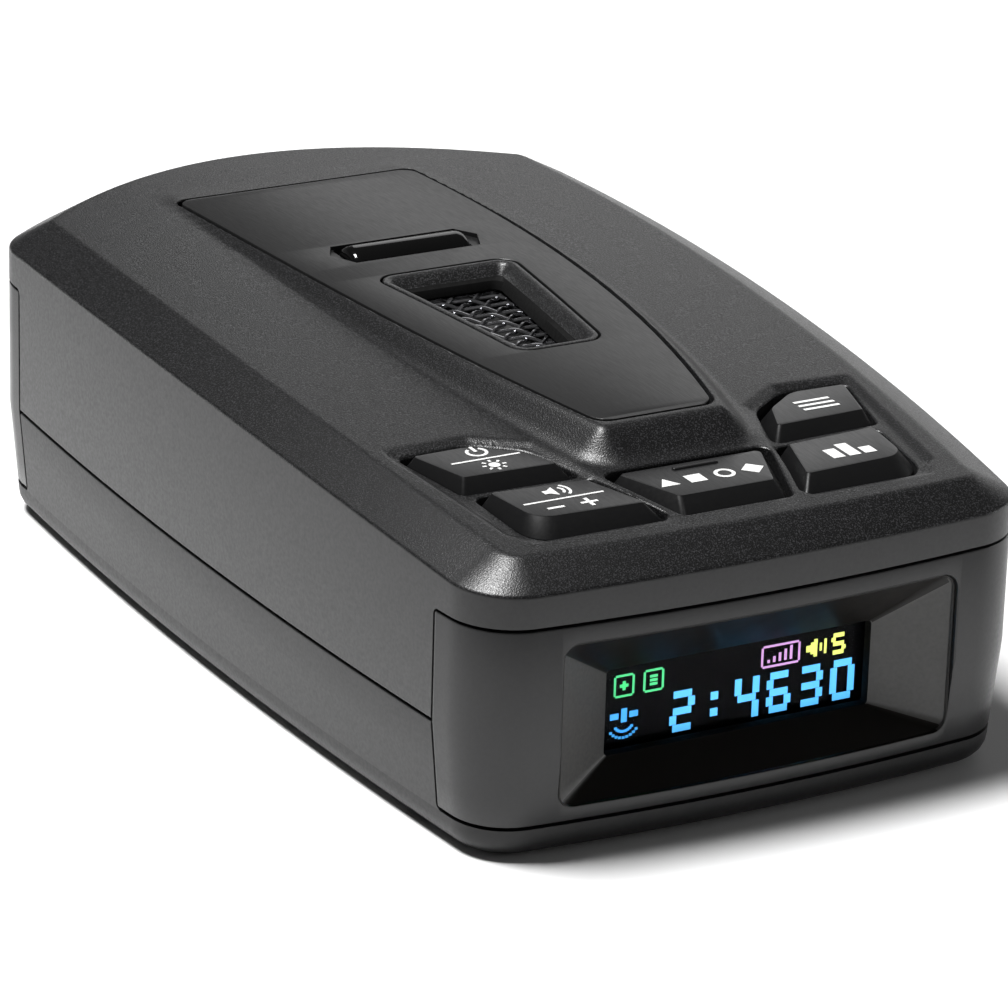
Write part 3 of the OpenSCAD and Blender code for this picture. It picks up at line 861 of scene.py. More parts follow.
# Painted shade: near-black for the grille's deep throat and the funnel's inside behind the window, where
# shade falls.
SHADE_BLACK = Finish("painted_shade_black", (0.003, 0.003, 0.003), 0.8, Pattern.MOULDED, specular=0.2)
MARK = Finish("white_print", (0.8, 0.8, 0.79), 0.5, Pattern.SATIN, bump=0.03, grain=0.01, variation=0.03)
BOARD = Finish("board_green", (0.015, 0.09, 0.045), 0.35, Pattern.BOARD, coat=0.3)
AMBER = Finish("ribbon_amber", (0.45, 0.22, 0.05), 0.3, Pattern.GLOSS, coat=0.2)
TIN = Finish("tin_plate", (0.62, 0.63, 0.65), 0.28, Pattern.METAL, metallic=1.0)
CAST = Finish("cast_metal", (0.55, 0.56, 0.58), 0.45, Pattern.METAL, metallic=0.9, bump=0.3, grain=0.1)
CAN = Finish("capacitor_can", (0.35, 0.37, 0.42), 0.3, Pattern.METAL, metallic=0.7)
CERAMIC = Finish("ceramic", (0.62, 0.56, 0.44), 0.5, Pattern.MOULDED)
CHIP = Finish("chip_black", (0.015, 0.015, 0.016), 0.55, Pattern.MOULDED, bump=0.2)
PLASTIC = Finish("moulded_black", (0.02, 0.02, 0.021), 0.45, Pattern.MOULDED)
GREY = Finish("moulded_grey", (0.14, 0.14, 0.14), 0.5, Pattern.MOULDED)
RED_LENS = Finish("lens_red", (0.06, 0.004, 0.006), 0.08, Pattern.GLOSS, coat=0.6)
PAPER = Finish("speaker_paper", (0.02, 0.02, 0.02), 0.85, Pattern.PAPER, bump=0.4, grain=0.2)
FRAME_PAINT = Finish("speaker_frame", (0.03, 0.03, 0.032), 0.4, Pattern.METAL, metallic=0.4)
ZINC = Finish("magnet_zinc", (0.42, 0.42, 0.44), 0.35, Pattern.METAL, metallic=1.0)
STEEL = Finish("screw_steel", (0.4, 0.4, 0.41), 0.3, Pattern.METAL, metallic=1.0)
GRAINED = Finish("ring_grained", (0.01, 0.01, 0.0103), 0.36, Pattern.SPARKLE, bump=0.6, grain=0.05)
SCREEN = Finish("screen_glass", (0.002, 0.002, 0.003), 0.2, Pattern.GLOSS, bump=0.0, ior=1.1)
GLASS = Finish("clear_window", (0.97, 0.97, 0.98), 0.02, Pattern.GLOSS, bump=0.0, transmission=1.0,
               ior=1.06)
CYAN = Finish("lit_cyan", (0.11, 0.55, 1.0), 0.5, Pattern.GLOSS, emission=0.95)
BLUE = Finish("lit_blue", (0.06, 0.42, 0.95), 0.5, Pattern.GLOSS, emission=0.9)
GREEN = Finish("lit_green", (0.09, 0.75, 0.28), 0.5, Pattern.GLOSS, emission=0.9)
PINK = Finish("lit_pink", (0.68, 0.36, 0.75), 0.5, Pattern.GLOSS, emission=0.9)
LIME = Finish("lit_lime", (0.85, 0.93, 0.2), 0.5, Pattern.GLOSS, emission=0.9)


# ---------------------------------------------------------------- shapes that several pieces share
def slab(name: str, outline: Sequence[Point], low: float, high: float,
         upright: bool = False) -> bpy.types.Object:
    """Models a flat piece from an outline.

    Args:
        name: The piece's name.
        outline: Points as (x, s), or (x, z) for an upright piece.
        low: Where it starts, along z, or along s for an upright piece.
        high: Where it ends.
        upright: True for a piece that faces the front.

    Returns:
        The closed slab.
    """
    rings = [[Vector((a, d, b)) if upright else Vector((a, b, d)) for a, b in outline]
             for d in (low, high)]
    return RingStack(name, rings[0]).fill().to(rings[1]).cap()


def well(outline: Sequence[Sequence[float]], floor: float, surface: Callable, gap: float,
         chamfer: float) -> bpy.types.Object:
    """Models the cutter of a well whose chamfered mouth follows a curved surface.

    Args:
        outline: Corners of the piece that sits in the well.
        floor: Height of the well's floor.
        surface: Height of the surface at (x, s).
        gap: Space round the piece.
        chamfer: Width of the chamfer at the mouth.

    Returns:
        The cutter.
    """
    inner = rounded(grown(outline, gap), 6, 14)
    outer = rounded(grown(outline, gap + chamfer), 6, 14)
    stack = RingStack("well", [Vector((x, s, floor)) for x, s in inner]).fill()
    stack.to([Vector((x, s, surface(x, s) - chamfer)) for x, s in inner])
    for wide, deep in ((0.12, 0.4), (0.45, 0.08)):
        ring = rounded(grown(outline, gap + chamfer * wide), 6, 14)
        stack.to([Vector((x, s, surface(x, s) - chamfer * deep)) for x, s in ring])
    stack.to([Vector((x, s, surface(x, s) + 0.03)) for x, s in outer])
    return stack.to([Vector((x, s, surface(x, s) + 3)) for x, s in outer]).cap()


def sheath(name: str, levels: Sequence[Point], inside: Sequence[Point]) -> bpy.types.Object:
    """Models a wall that goes all the way round the case, as a closed shell.

    Args:
        name: The piece's name.
        levels: The outer face, as (inset, z) from the bottom up.
        inside: The inner face, as (inset, z) from the top down.

    Returns:
        The closed wall.
    """
    first = flat_ring(*levels[0])
    stack = RingStack(name, first)
    for d, z in (*levels[1:], *inside):
        stack.to(flat_ring(d, z))
    return stack.loop(first)


@dataclass(frozen=True)
class Key:
    """Plan of one key, right-hand side: corners as (x, s, radius), and the height of its top."""

    foot: tuple
    head: tuple
    top: float


FUNCTION_KEY = Key(foot=((-5.8, 6.95, 0.6), (5.8, 6.95, 0.6), (9, 16.9, 0.8), (-9, 16.9, 0.8)),
                   head=((-5.1, 9, 0.5), (5.1, 9, 0.5), (7.8, 16.1, 0.5), (-7.8, 16.1, 0.5)), top=31.2)
FRONT_KEY = Key(foot=((7.4, 7.1, 0.5), (21.1, 7.7, 3), (22, 17.7, 0.6), (10.4, 16.9, 0.5)),
                head=((8.9, 9, 0.3), (20, 9.6, 2.4), (21, 16.9, 0.3), (11.2, 16.2, 0.3)), top=31.2)
BACK_KEY = Key(foot=((10.9, 18.3, 0.5), (22.7, 19.2, 0.5), (24.7, 28.1, 0.5), (17.5, 28.2, 3.5),
                     (13, 25, 3)),
               head=((12.2, 20, 0.3), (22, 20.4, 0.3), (23.9, 27, 0.3), (18, 27.2, 3),
                     (14, 24.2, 2.6)),
               top=31.7)
GRILLE = ((-4.7, 41.4, 2), (4.7, 41.4, 2), (7.9, 66.9, 2), (-7.9, 66.9, 2))
LIGHT_BAR = ((-6.9, 72.4, 0.3), (6.9, 72.4, 0.3), (6.9, 77.9, 0.3), (-6.9, 77.9, 0.3))


@dataclass
class HoodPlate:
    """The brushed plate in the top of the hood."""

    ends: Point = (22.4, 101.0)
    corner: float = 1.6
    thick: float = 1.2

    def half_width(self, s: float, grow: float = 0.0) -> float:
        """Returns half of the plate's width, with its rounded ends.

        Args:
            s: Place along the case, from the front.
            grow: How far the outline is moved outwards.

        Returns:
            Half of the width there.
        """
        near = min(s - self.ends[0], self.ends[1] - s) + grow
        cut_back = 0.0
        if near < self.corner:
            cut_back = self.corner - math.sqrt(max(0.0, self.corner ** 2 - (self.corner - near) ** 2))
        return SHAPE.plate_w(s) + grow - cut_back

    def stations(self, grow: float = 0.0) -> list[float]:
        """Returns places along the plate, close together at its rounded ends.

        Args:
            grow: How far the ends are moved outwards.

        Returns:
            The places, from the front.
        """
        low, high = self.ends[0] - grow, self.ends[1] + grow
        near = [self.corner * (1 - math.cos(math.pi / 2 * i / 6)) for i in range(7)]
        length = high - low - 2 * self.corner
        inner = [low + self.corner + length * i / 40 for i in range(1, 40)]
        return [low + t for t in near] + inner + [high - t for t in near[::-1]]

    def _section(self, s: float, w: float, low: float, edge: float) -> Ring:
        """Returns a cross-section of the plate, with its two upper edges broken.

        Args:
            s: Place along the case, from the front.
            w: Half of the width there.
            low: How far the underside is below the surface.
            edge: Width of the broken edges.

        Returns:
            The section's points.
        """
        z = SHAPE.hood_z(s)
        w = max(w, 0.3)
        right = [(w, z - low), (w, z - edge), (w - edge * 0.3, z - edge * 0.3), (w - edge, z)]
        return [Vector((x, s, h)) for x, h in right] + [Vector((-x, s, h)) for x, h in right[::-1]]

    def body(self) -> bpy.types.Object:
        """Models the plate from sections along the case.

        Returns:
            The mesh object.
        """
        places = self.stations()
        sections = [self._section(s, self.half_width(s), self.thick, 0.12) for s in places]
        stack = RingStack("hood_plate", sections[0]).fill()
        for section in sections[1:]:
            stack.to(section)
        return stack.cap()

    def groove(self, gap: float) -> bpy.types.Object:
        """Models the cutter of the pocket that the plate lies in.

        Args:
            gap: Space round the plate.

        Returns:
            The cutter.
        """
        stack = None
        for s in self.stations(gap):
            w, z = max(self.half_width(s, gap), 0.3), SHAPE.hood_z(s)
            half = ((w, -self.thick - 0.1), (w, -0.15), (w + 0.06, -0.03), (w + 0.2, 0.04), (w + 0.2, 3))
            ring = [Vector((x, s, z + h)) for x, h in half]
            ring += [Vector((-v.x, v.y, v.z)) for v in ring[::-1]]
            stack = stack.to(ring) if stack else RingStack("groove", ring).fill()
        return stack.cap()


# ---------------------------------------------------------------- case
@dataclass
class CaseShells:
    """The upper and the lower half of the case."""

    wall: float = 2.0
    seam: float = 0.15
    key_gap: float = 0.3
    edge_low: float = 0.3
    edge_high: float = 0.4
    pocket_depth: float = 0.45
    pocket_edge: float = 1.1
    pocket: tuple = ((7.2, 6.1), (21.4, 6.7), (23.6, 9.5), (26.2, 29.4), (17.0, 29.6), (11.6, 26),
                     (9.4, 17.4))
    bezel_l: float = 9.7
    bezel_z: Point = (3.5, 23.9)
    rear_s: float = 99.0
    rear_z: Point = (3.5, 26.2)
    screws_at: tuple = ((27.3, 15.5), (28.0, 94.0))
    socket_at: Point = (32.0, 8.4)
    usb_at: Point = (48.0, 7.65)

    def surface(self, x: float, s: float) -> float:
        """Returns the height of the finished upper surface, with the hood and the key pockets.

        Args:
            x: Place across the case.
            s: Place along the case, from the front.

        Returns:
            The height there.
        """
        away = edge_distance(self.pocket, abs(x), s)
        dip = self.pocket_depth * smooth(-away / self.pocket_edge)
        return SHAPE.top_z(x, s) + SHAPE.hood_at(x, s) - dip

    def _crown_ring(self, k: float, d: float, dz: float = 0.0, plain: bool = False) -> Ring:
        """Returns a ring on the upper surface, scaled about the middle of the case.

        Args:
            k: Scale of the ring.
            d: How far the ring is inside the bevel.
            dz: How far it is moved up.
            plain: True to leave out the hood and the key pockets.

        Returns:
            The ring.
        """
        ring = []
        half = SHAPE.length / 2
        for p in OUTLINE:
            x, s = inset(p, bevel_of(p) + d)
            x, s = x * k, half + (s - half) * k
            z = SHAPE.top_z(x, s) if plain else self.surface(x, s)
            ring.append(Vector((x, s, z + dz)))
        return ring

    def _wall_ring(self, d: float, dz: float) -> Ring:
        """Returns a ring dz from the lower edge of the bevel."""
        return [Vector((*inset(p, d), self._shoulder(p) - SHAPE.bevel_h + dz)) for p in OUTLINE]

    @staticmethod
    def _shoulder(p: Sequence[float]) -> float:
        """Returns the height of the bevel's upper edge at an outline point."""
        return SHAPE.top_z(*inset(p, bevel_of(p)))

    def _rounded_edge(self, upper: bool, t: float) -> Ring:
        """Returns a ring on the soft upper or lower edge of the bevel, at a share t of its arc.

        Args:
            upper: True for the bevel's upper edge.
            t: Share of the way round the edge.

        Returns:
            The ring.
        """
        ring = []
        for p in OUTLINE:
            width, z = bevel_of(p), self._shoulder(p)
            size = math.hypot(width, SHAPE.bevel_h)
            across, up = width / size, SHAPE.bevel_h / size
            if upper:
                before = (width - self.edge_high * across, z - self.edge_high * up)
                corner = (width, z)
                after = (width + self.edge_high, self.surface(*inset(p, width + self.edge_high)))
            else:
                before = (0.0, z - SHAPE.bevel_h - self.edge_low)
                corner = (0.0, z - SHAPE.bevel_h)
                after = (self.edge_low * across, z - SHAPE.bevel_h + self.edge_low * up)
            a, b, c = (1 - t) ** 2, 2 * t * (1 - t), t * t
            d, h = (a * before[i] + b * corner[i] + c * after[i] for i in (0, 1))
            ring.append(Vector((*inset(p, d), h)))
        return ring

    @staticmethod
    def _crown_scales() -> list[float]:
        """Returns the scales of the rings over the crown: fine over the keys and the hood's edges.

        Returns:
            The scales, from the bevel to the middle.
        """
        scales = [1 - 0.0076 * i for i in range(1, 67)]
        scales += [scales[-1] - 0.0105 * i for i in range(1, 26)]
        return scales + [scales[-1] * (1 - i / 8) for i in range(1, 8)]

    def top_shell(self) -> bpy.types.Object:
        """Models the upper shell: the inside first, then round the lip, up the wall and over the crown.

        Returns:
            The finished piece.
        """
        low = SHAPE.parting_z + self.seam
        stack = RingStack("top_shell", self._crown_ring(0.03, 0.8, -2.1, plain=True)).fill()
        for k in (0.3, 0.6, 0.85, 1.0):
            stack.to(self._crown_ring(k, 0.8, -2.1, plain=True))
        stack.to(self._wall_ring(self.wall, -1.6)).to(flat_ring(self.wall, low + 1.6))
        stack.to(flat_ring(self.wall - 1.05, low + 1.55)).to(flat_ring(self.wall - 1.05, low))
        stack.to(flat_ring(0.22, low)).to(flat_ring(0.06, low + 0.06)).to(flat_ring(0, low + 0.22))
        for share in (0, 0.34, 0.67, 1):
            stack.to(self._rounded_edge(False, share))
        for share in (0, 0.17, 0.33, 0.5, 0.67, 0.83, 1):
            stack.to(self._rounded_edge(True, share))
        for k in self._crown_scales():
            stack.to(self._crown_ring(k, self.edge_high))
        shell = stack.point()
        for group in self._top_cutters():
            cut(shell, joined(group, "top_cutters"))
        shell.data.materials.append(TEXTURED.material())
        shell.data.materials.append(SATIN.material())
        for face in shell.data.polygons:
            face.material_index = int(abs(face.normal.z) < 0.25 and face.center.z < 29)
        return place(shell, ["top_shell"], "case_black", None)

    def _top_cutters(self) -> list[list[bpy.types.Object]]:
        """Models all that is cut from the upper shell, in groups whose pieces don't touch.

        Returns:
            The groups, each cut in one go.
        """
        slot = block("slot", (-10, 10), (102, SHAPE.length + 2), (27, 29.2))
        bevelled(slot, 0.5)
        wells = [well(key.foot, 26, self.surface, self.key_gap, 0.28)
                 for key in (FUNCTION_KEY, FRONT_KEY, BACK_KEY)]
        twins = [mirrored(tool, "well") for tool in wells[1:]]
        holes = [slab("hole", rounded(grown(plan, gap)), 26, 34)
                 for plan, gap in ((GRILLE, -0.6), (LIGHT_BAR, 0.2))]
        return [[self._end_block(True), self._end_block(False), wells[0], HoodPlate().groove(0.38)],
                [slot, wells[1], twins[0]], [*holes, wells[2], twins[1]]]

    def _end_block(self, front: bool) -> bpy.types.Object:
        """Models the block that makes room for the bezel or for the rear window.

        Args:
            front: True for the bezel, False for the rear window.

        Returns:
            The cutter.
        """
        g = self.seam
        if front:
            box = ((-50, 50), (-5, self.bezel_l + g), (self.bezel_z[0] - g, self.bezel_z[1] + g))
        else:
            box = ((-50, 50), (self.rear_s - g, SHAPE.length + 5),
                   (self.rear_z[0] - g, self.rear_z[1] + g))
        tool = block("end_block", *box)
        bevelled(tool, 0.7, 4)
        return tool

    def bottom_shell(self) -> bpy.types.Object:
        """Models the lower shell: the inside, the tongue, the outer wall and the rounded base.

        Returns:
            The finished piece.
        """
        high = SHAPE.parting_z - self.seam
        floor = [Vector((v.x * 0.03, SHAPE.length / 2 + (v.y - SHAPE.length / 2) * 0.03, self.wall))
                 for v in flat_ring(4, self.wall)]
        stack = RingStack("bottom_shell", floor).fill()
        for d, z in ((4, self.wall), (3, self.wall + 1.2), (self.wall, high - 1), (self.wall, high + 1.55),
                     (self.wall - 0.85, high + 1.6), (self.wall - 0.85, high), (0.22, high),
                     (0.06, high - 0.06), (0.02, high - 0.22)):
            stack.to(flat_ring(d, z))
        for z in (8.0, 5.0, 3.4, 2.6, 1.9, 1.3, 0.85, 0.5, 0.25, 0.08, 0.0):
            stack.to(flat_ring(self._base_inset(z), z))
        for d in (3.5, 4.2):
            stack.to(flat_ring(d, 0))
        shell = stack.cap()
        for group in self._bottom_cutters():
            cut(shell, joined(group, "bottom_cutters"))
        shell.data.materials.append(SATIN.material())
        shell.data.materials.append(BASE_SHADE.material())
        for face in shell.data.polygons:
            # Faces below 3.3 mm get the painted shade of the base strip.
            face.material_index = int(face.center.z < 3.3)
        return place(shell, ["bottom_shell"], "case_black", None)

    @staticmethod
    def _base_inset(z: float) -> float:
        """Returns how far in the lower wall is at a height, with the rounded base."""
        round_off = 2.38 * max(0.0, 1 - z / 3.5) ** 3.5
        return SHAPE.draft(z) + round_off - 0.3 * smooth(1 - z / 3.5)

    def _bottom_cutters(self) -> list[list[bpy.types.Object]]:
        """Models all that is cut from the lower shell, in groups whose pieces don't touch.

        Returns:
            The groups, each cut in one go.
        """
        bores = [self._peg(2.3, (x * side, s, 3.5), 9) for x, s in self.screws_at for side in (-1, 1)]
        s, z = self.socket_at
        usb_s, usb_z = self.usb_at
        usb = block("usb_hole", (26, 40), (usb_s - 4, usb_s + 4), (usb_z - 1.55, usb_z + 1.55))
        bevelled(usb, 0.7)
        panel = slab("panel", rounded([(-21, 44, 2), (21, 44, 2), (21, 74, 2), (-21, 74, 2)], 8), -1, 0.35)
        return [[self._end_block(True), self._end_block(False), *bores],
                [self._peg(3.6, (41.9, s, z), 20, True), usb, panel],
                [self._peg(3.0, (35, s, z), 20, True)]]

    @staticmethod
    def _peg(radius: float, at: tuple, depth: float, lying: bool = False) -> bpy.types.Object:
        """Models a round cutter, upright or lying across the case.

        Args:
            radius: Its radius.
            at: Its middle, as (x, s, z).
            depth: Its length.
            lying: True if it lies across the case.

        Returns:
            The cutter.
        """
        tool = add("cylinder", "peg", vertices=64, radius=radius, depth=depth, location=at,
                   rotation=(0, math.pi / 2 if lying else 0, 0))
        bpy.ops.object.transform_apply(location=True, rotation=True, scale=True)
        return tool

    def build(self) -> None:
        """Builds both shells."""
        self.top_shell()
        self.bottom_shell()


@dataclass
class CaseEnds:
    """The bezel round the display and the window in front of the antenna."""

    shells: CaseShells
    wall: float = 2.0
    recess_w: float = 21.4
    recess_z: Point = (5.1, 21.8)
    corner: float = 1.7

    def _band(self, name: str, z: Point, front: bool) -> bpy.types.Object:
        """Models a length of the case wall between two heights, cut off at one end of the case.

        Args:
            name: The band's name.
            z: Its bottom and its top.
            front: True for the display end.

        Returns:
            The band, still in one colour.
        """
        g, e = self.shells.seam, 0.2
        low, high = z[0] + g, z[1] - g
        part = SHAPE.parting_z
        outer = [(SHAPE.draft(low) + e, low), (SHAPE.draft(low) + e * 0.3, low + e * 0.3),
                 (SHAPE.draft(low + e), low + e)]
        steps = [low + (part - low) * i / 3 for i in (1, 2, 3)]
        outer += [(SHAPE.draft(height), height) for height in steps]
        outer += [(0, high - e), (e * 0.3, high - e * 0.3), (e, high)]
        inside = [(self.wall, high), (self.wall, part), (self.wall + SHAPE.draft(low), low)]
        band = sheath(name, outer, inside)
        if front:
            keep = block("keep", (-50, 50), (-5, self.shells.bezel_l - g), (0, 40))
        else:
            keep = block("keep", (-50, 50), (self.shells.rear_s + g, SHAPE.length + 5), (0, 40))
        cut(band, keep, "INTERSECT")
        return band

    def _mouth(self, grow: float, depth: Callable) -> Ring:
        """Returns the recess's outline in the front face, with a depth for each point.

        Args:
            grow: How far the outline is moved outwards.
            depth: Gives the depth at a place across the case.

        Returns:
            The ring.
        """
        w, (low, high) = self.recess_w + grow, self.recess_z
        corners = [(-w, low - grow, self.corner + grow), (w, low - grow, self.corner + grow),
                   (w, high + grow, self.corner + grow), (-w, high + grow, self.corner + grow)]
        return [Vector((x, depth(x), z)) for x, z in rounded(corners, 8, 16)]

    def bezel(self) -> bpy.types.Object:
        """Models the bezel with the recess cut through its face.

        Returns:
            The finished piece.
        """
        band = self._band("front_bezel", self.shells.bezel_z, True)
        stack = RingStack("recess", self._mouth(0.3, lambda x: -4.0)).fill()
        stack.to(self._mouth(0.3, lambda x: SHAPE.front_y(x) - 0.03))
        stack.to(self._mouth(0.08, lambda x: SHAPE.front_y(x) + 0.1))
        stack.to(self._mouth(0, lambda x: SHAPE.front_y(x) + 0.35))
        tool = stack.to(self._mouth(0, lambda x: 9)).cap()
        cut(band, tool)
        bevelled(band, 0.15, 2, 50)
        return place(band, ["front_bezel"], "bezel_black", BEZEL)

    def rear_window(self) -> bpy.types.Object:
        """Models the dark window at the antenna end.

        Returns:
            The finished piece.
        """
        band = self._band("rear_window", self.shells.rear_z, False)
        bevelled(band, 0.2, 2, 50)
        return place(band, ["rear_window"], "window_black", REAR)

    def surround(self) -> bpy.types.Object:
        """Models the glossy funnel from the bezel's mouth down to the clear window.

        Returns:
            The finished piece.
        """
        window = [(-14.5, 7.8, 0.4), (14.5, 7.8, 0.4), (14.5, 16.5, 0.4), (-14.5, 16.5, 0.4)]

        def inner(grow: float, s: float) -> Ring:
            """Returns the window's outline, grown, at one depth."""
            corners = [(x + math.copysign(grow, x), z + (grow if z > 12 else -grow), r + grow)
                       for x, z, r in window]
            return [Vector((x, s, z)) for x, z in rounded(corners, 8, 16)]

        first = self._mouth(-0.06, lambda x: SHAPE.front_y(x) + 0.55)
        stack = RingStack("display_surround", first)
        for grow, deep in ((-0.1, 0.42), (-0.16, 0.42), (-0.2, 0.5), (-0.23, 0.8), (-0.36, 0.9)):
            stack.to(self._mouth(grow, lambda x, deep=deep: SHAPE.front_y(x) + deep))
        stack.to(inner(0.12, 5.1)).to(inner(0.04, 5.16)).to(inner(0, 5.3)).to(inner(0, 6.2))
        piece = stack.to(self._mouth(-0.06, lambda x: 6.2)).loop(first)
        piece.data.materials.append(SURROUND.material())
        piece.data.materials.append(LIT_SLOPE.material())
        piece.data.materials.append(SHADE_BLACK.material())
        for face in piece.data.polygons:
            # The left and right slopes get the painted light. Faces behind the window get the painted
            # shade.
            face.material_index = 2 if face.center.y > 5.2 else int(abs(face.normal.x) > 0.35)
        return place(piece, ["display_surround"], "surround_black", None)

    def build(self) -> None:
        """Builds the three pieces."""
        self.bezel()
        self.rear_window()
        self.surround()


# ---------------------------------------------------------------- hood
@dataclass
class Hood:
    """The plate, the light bar, the grille ring and the woven wire in the hood."""

    plate: HoodPlate = field(default_factory=HoodPlate)
    mesh_z: float = 31.6
    wire_r: float = 0.19
    wire_pitch: float = 1.9
    wire_turn: float = 52
    wave: float = 0.19

    def hood_plate(self) -> bpy.types.Object:
        """Models the plate, with openings for the grille and the light bar and a pocket round the bar.

        Returns:
            The finished piece.
        """
        piece = self.plate.body()
        top = SHAPE.hood_z(75)
        pocket = [(-8.6, 75.4), (-7.2, 72.0), (7.2, 72.0), (8.6, 75.4), (7.2, 78.1), (-7.2, 78.1)]
        stack = RingStack("pocket", [Vector((x, s, top - 0.5)) for x, s in pocket]).fill()
        tools = [stack.to([Vector((x, s, top + 0.4)) for x, s in pocket]).cap()]
        tools.append(well(GRILLE, 28, lambda x, s: SHAPE.hood_z(s), 0.26, 0.12))
        tools.append(slab("hole", rounded(grown(LIGHT_BAR, 0.2)), 28, 40))
        for tool in tools:
            cut(piece, tool)
        return place(piece, ["hood_plate"], "plate_brushed", PLATE)

    def light_bar(self) -> bpy.types.Object:
        """Models the glossy bar: a half-round section along its length, drawn in at both ends.

        Returns:
            The finished piece.
        """
        top = SHAPE.hood_z(75) + 0.65
        ends = [(-6.9, 0.72), (-6.82, 0.84), (-6.6, 0.93), (-6.25, 0.985), (-5.8, 1.0)]
        stack = None
        for x, scale in ends + [(-x, scale) for x, scale in ends[::-1]]:
            turns = [math.pi * i / 20 for i in range(21)]
            ring = [Vector((x, 75.15 + 2.7 * scale * math.cos(a), top - 2.7 + 2.7 * scale * math.sin(a)))
                    for a in turns]
            ring += [Vector((x, 75.15 - 2.7 * scale, top - 5)), Vector((x, 75.15 + 2.7 * scale, top - 5))]
            stack = stack.to(ring) if stack else RingStack("laser_light_pipe", ring).fill()
        piece = stack.cap()
        return place(piece, ["laser_light_pipe"], "light_pipe", LIGHT_PIPE)

    def grille_frame(self) -> bpy.types.Object:
        """Models the ring: a rounded rim, a slope down to the wire and a short throat.

        Returns:
            The finished piece.
        """
        opening = ((-2.6, 44.2, 0.9), (2.6, 44.2, 0.9), (5.5, 64.6, 0.9), (-5.5, 64.6, 0.9))

        def ring(corners: Sequence, grow: float, drop: float, level: float | None = None) -> Ring:
            """Returns an outline, grown, below the hood's surface or at one level."""
            return [Vector((x, s, SHAPE.hood_z(s) - drop if level is None else level))
                    for x, s in rounded(grown(corners, grow), 8, 10)]

        first = ring(GRILLE, 0, 0, 31.0)
        stack = RingStack("grille_frame", first)
        stack.to(ring(GRILLE, 0, 0.14)).to(ring(GRILLE, -0.05, 0.04)).to(ring(GRILLE, -0.16, 0.0))
        stack.to(ring(GRILLE, -0.42, 0.0)).to(ring(GRILLE, -0.7, 0.1)).to(ring(GRILLE, -0.95, 0.3))
        stack.to(ring(GRILLE, -1.5, 1.05)).to(ring(GRILLE, -1.62, 1.2))
        stack.to(ring(opening, 0.3, 1.5)).to(ring(opening, 0, 2.3))
        stack.to(ring(opening, 0, 0, 32.1)).to(ring(opening, 1.0, 0, 32.05)).to(ring(opening, 1.0, 0, 31.0))
        piece = stack.loop(first)
        piece.data.materials.append(GRAINED.material())
        piece.data.materials.append(SHADE_BLACK.material())
        for face in piece.data.polygons:
            # Faces more than 1.15 mm below the hood get painted shade, for the shade in the grille's
            # throat.
            face.material_index = int(face.center.z < SHAPE.hood_z(face.center.y) - 1.15)
        return place(piece, ["grille_frame"], "case_black", None)

    def wire_mesh(self) -> bpy.types.Object:
        """Models the woven wire: two families of waved wires that pass over and under each other.

        Returns:
            The finished piece.
        """
        edge = rounded(((-3.5, 43.1, 0.7), (3.5, 43.1, 0.7), (6.5, 65.7, 0.7), (-6.5, 65.7, 0.7)), 3)
        wires = []
        lean = math.cos(math.radians(2 * self.wire_turn))
        for side in (1, -1):
            turn = math.radians(side * self.wire_turn)
            along = Vector((math.sin(turn), math.cos(turn)))
            across = Vector((along.y, -along.x))
            for i in range(-12, 13):
                start = Vector((0, 55)) + across * (i * self.wire_pitch)
                span = self._span(edge, start, along)
                if span and span[1] - span[0] > 1.2:
                    phase = math.pi * (i + side * i * lean + (side < 0))
                    wires.append(self._wire(start, along, span, phase))
        rim = self._rim(edge)
        mesh = joined([rim, *wires], "grille_mesh")
        return place(mesh, ["grille_mesh"], "mesh_wire", WIRE, angle=50)

    @staticmethod
    def _span(edge: Sequence[Point], start: Vector, along: Vector) -> tuple[float, float] | None:
        """Returns where a line enters and leaves a convex outline, or None if it misses it.

        Args:
            edge: The outline.
            start: A point on the line.
            along: The line's direction.

        Returns:
            The two distances from the start, or None.
        """
        low, high = -1e9, 1e9
        for i, a in enumerate(edge):
            b = edge[(i + 1) % len(edge)]
            out = Vector((b[1] - a[1], a[0] - b[0]))
            speed, gap = out.dot(along), out.dot(Vector(a) - start)
            if abs(speed) < 1e-9:
                continue
            if speed > 0:
                high = min(high, gap / speed)
            else:
                low = max(low, gap / speed)
        return (low, high) if low < high else None

    def _wire(self, start: Vector, along: Vector, span: Point, phase: float) -> bpy.types.Object:
        """Models one waved wire as a six-sided tube.

        Args:
            start: A point on the wire's line.
            along: The wire's direction.
            span: Where it starts and ends on that line.
            phase: Where its wave begins, in radians.

        Returns:
            The wire.
        """
        count = max(4, round((span[1] - span[0]) / 0.42))
        step = self.wire_pitch / math.sin(math.radians(2 * self.wire_turn))
        across = Vector((along.y, -along.x))
        stack = None
        for k in range(count + 1):
            t = span[0] + (span[1] - span[0]) * k / count
            centre = start + along * t
            height = self.mesh_z + self.wave * math.cos(math.pi * t / step + phase)
            ring = []
            for j in range(6):
                turn = math.pi / 3 * j
                p = centre + across * (self.wire_r * math.cos(turn))
                ring.append(Vector((p.x, p.y, height + self.wire_r * math.sin(turn))))
            stack = stack.to(ring) if stack else RingStack("wire", ring).fill()
        return stack.cap()

    def _rim(self, edge: Sequence[Point]) -> bpy.types.Object:
        """Models the flat rim that holds the ends of the wires.

        Args:
            edge: The mesh's outline.

        Returns:
            The rim.
        """
        inner = [(x * 0.84, 54.5 + (s - 54.5) * 0.95) for x, s in edge]
        first = [Vector((x, s, 31.3)) for x, s in edge]
        stack = RingStack("rim", first)
        for outline, z in ((edge, 31.7), (inner, 31.7), (inner, 31.3)):
            stack.to([Vector((x, s, z)) for x, s in outline])
        return stack.loop(first)

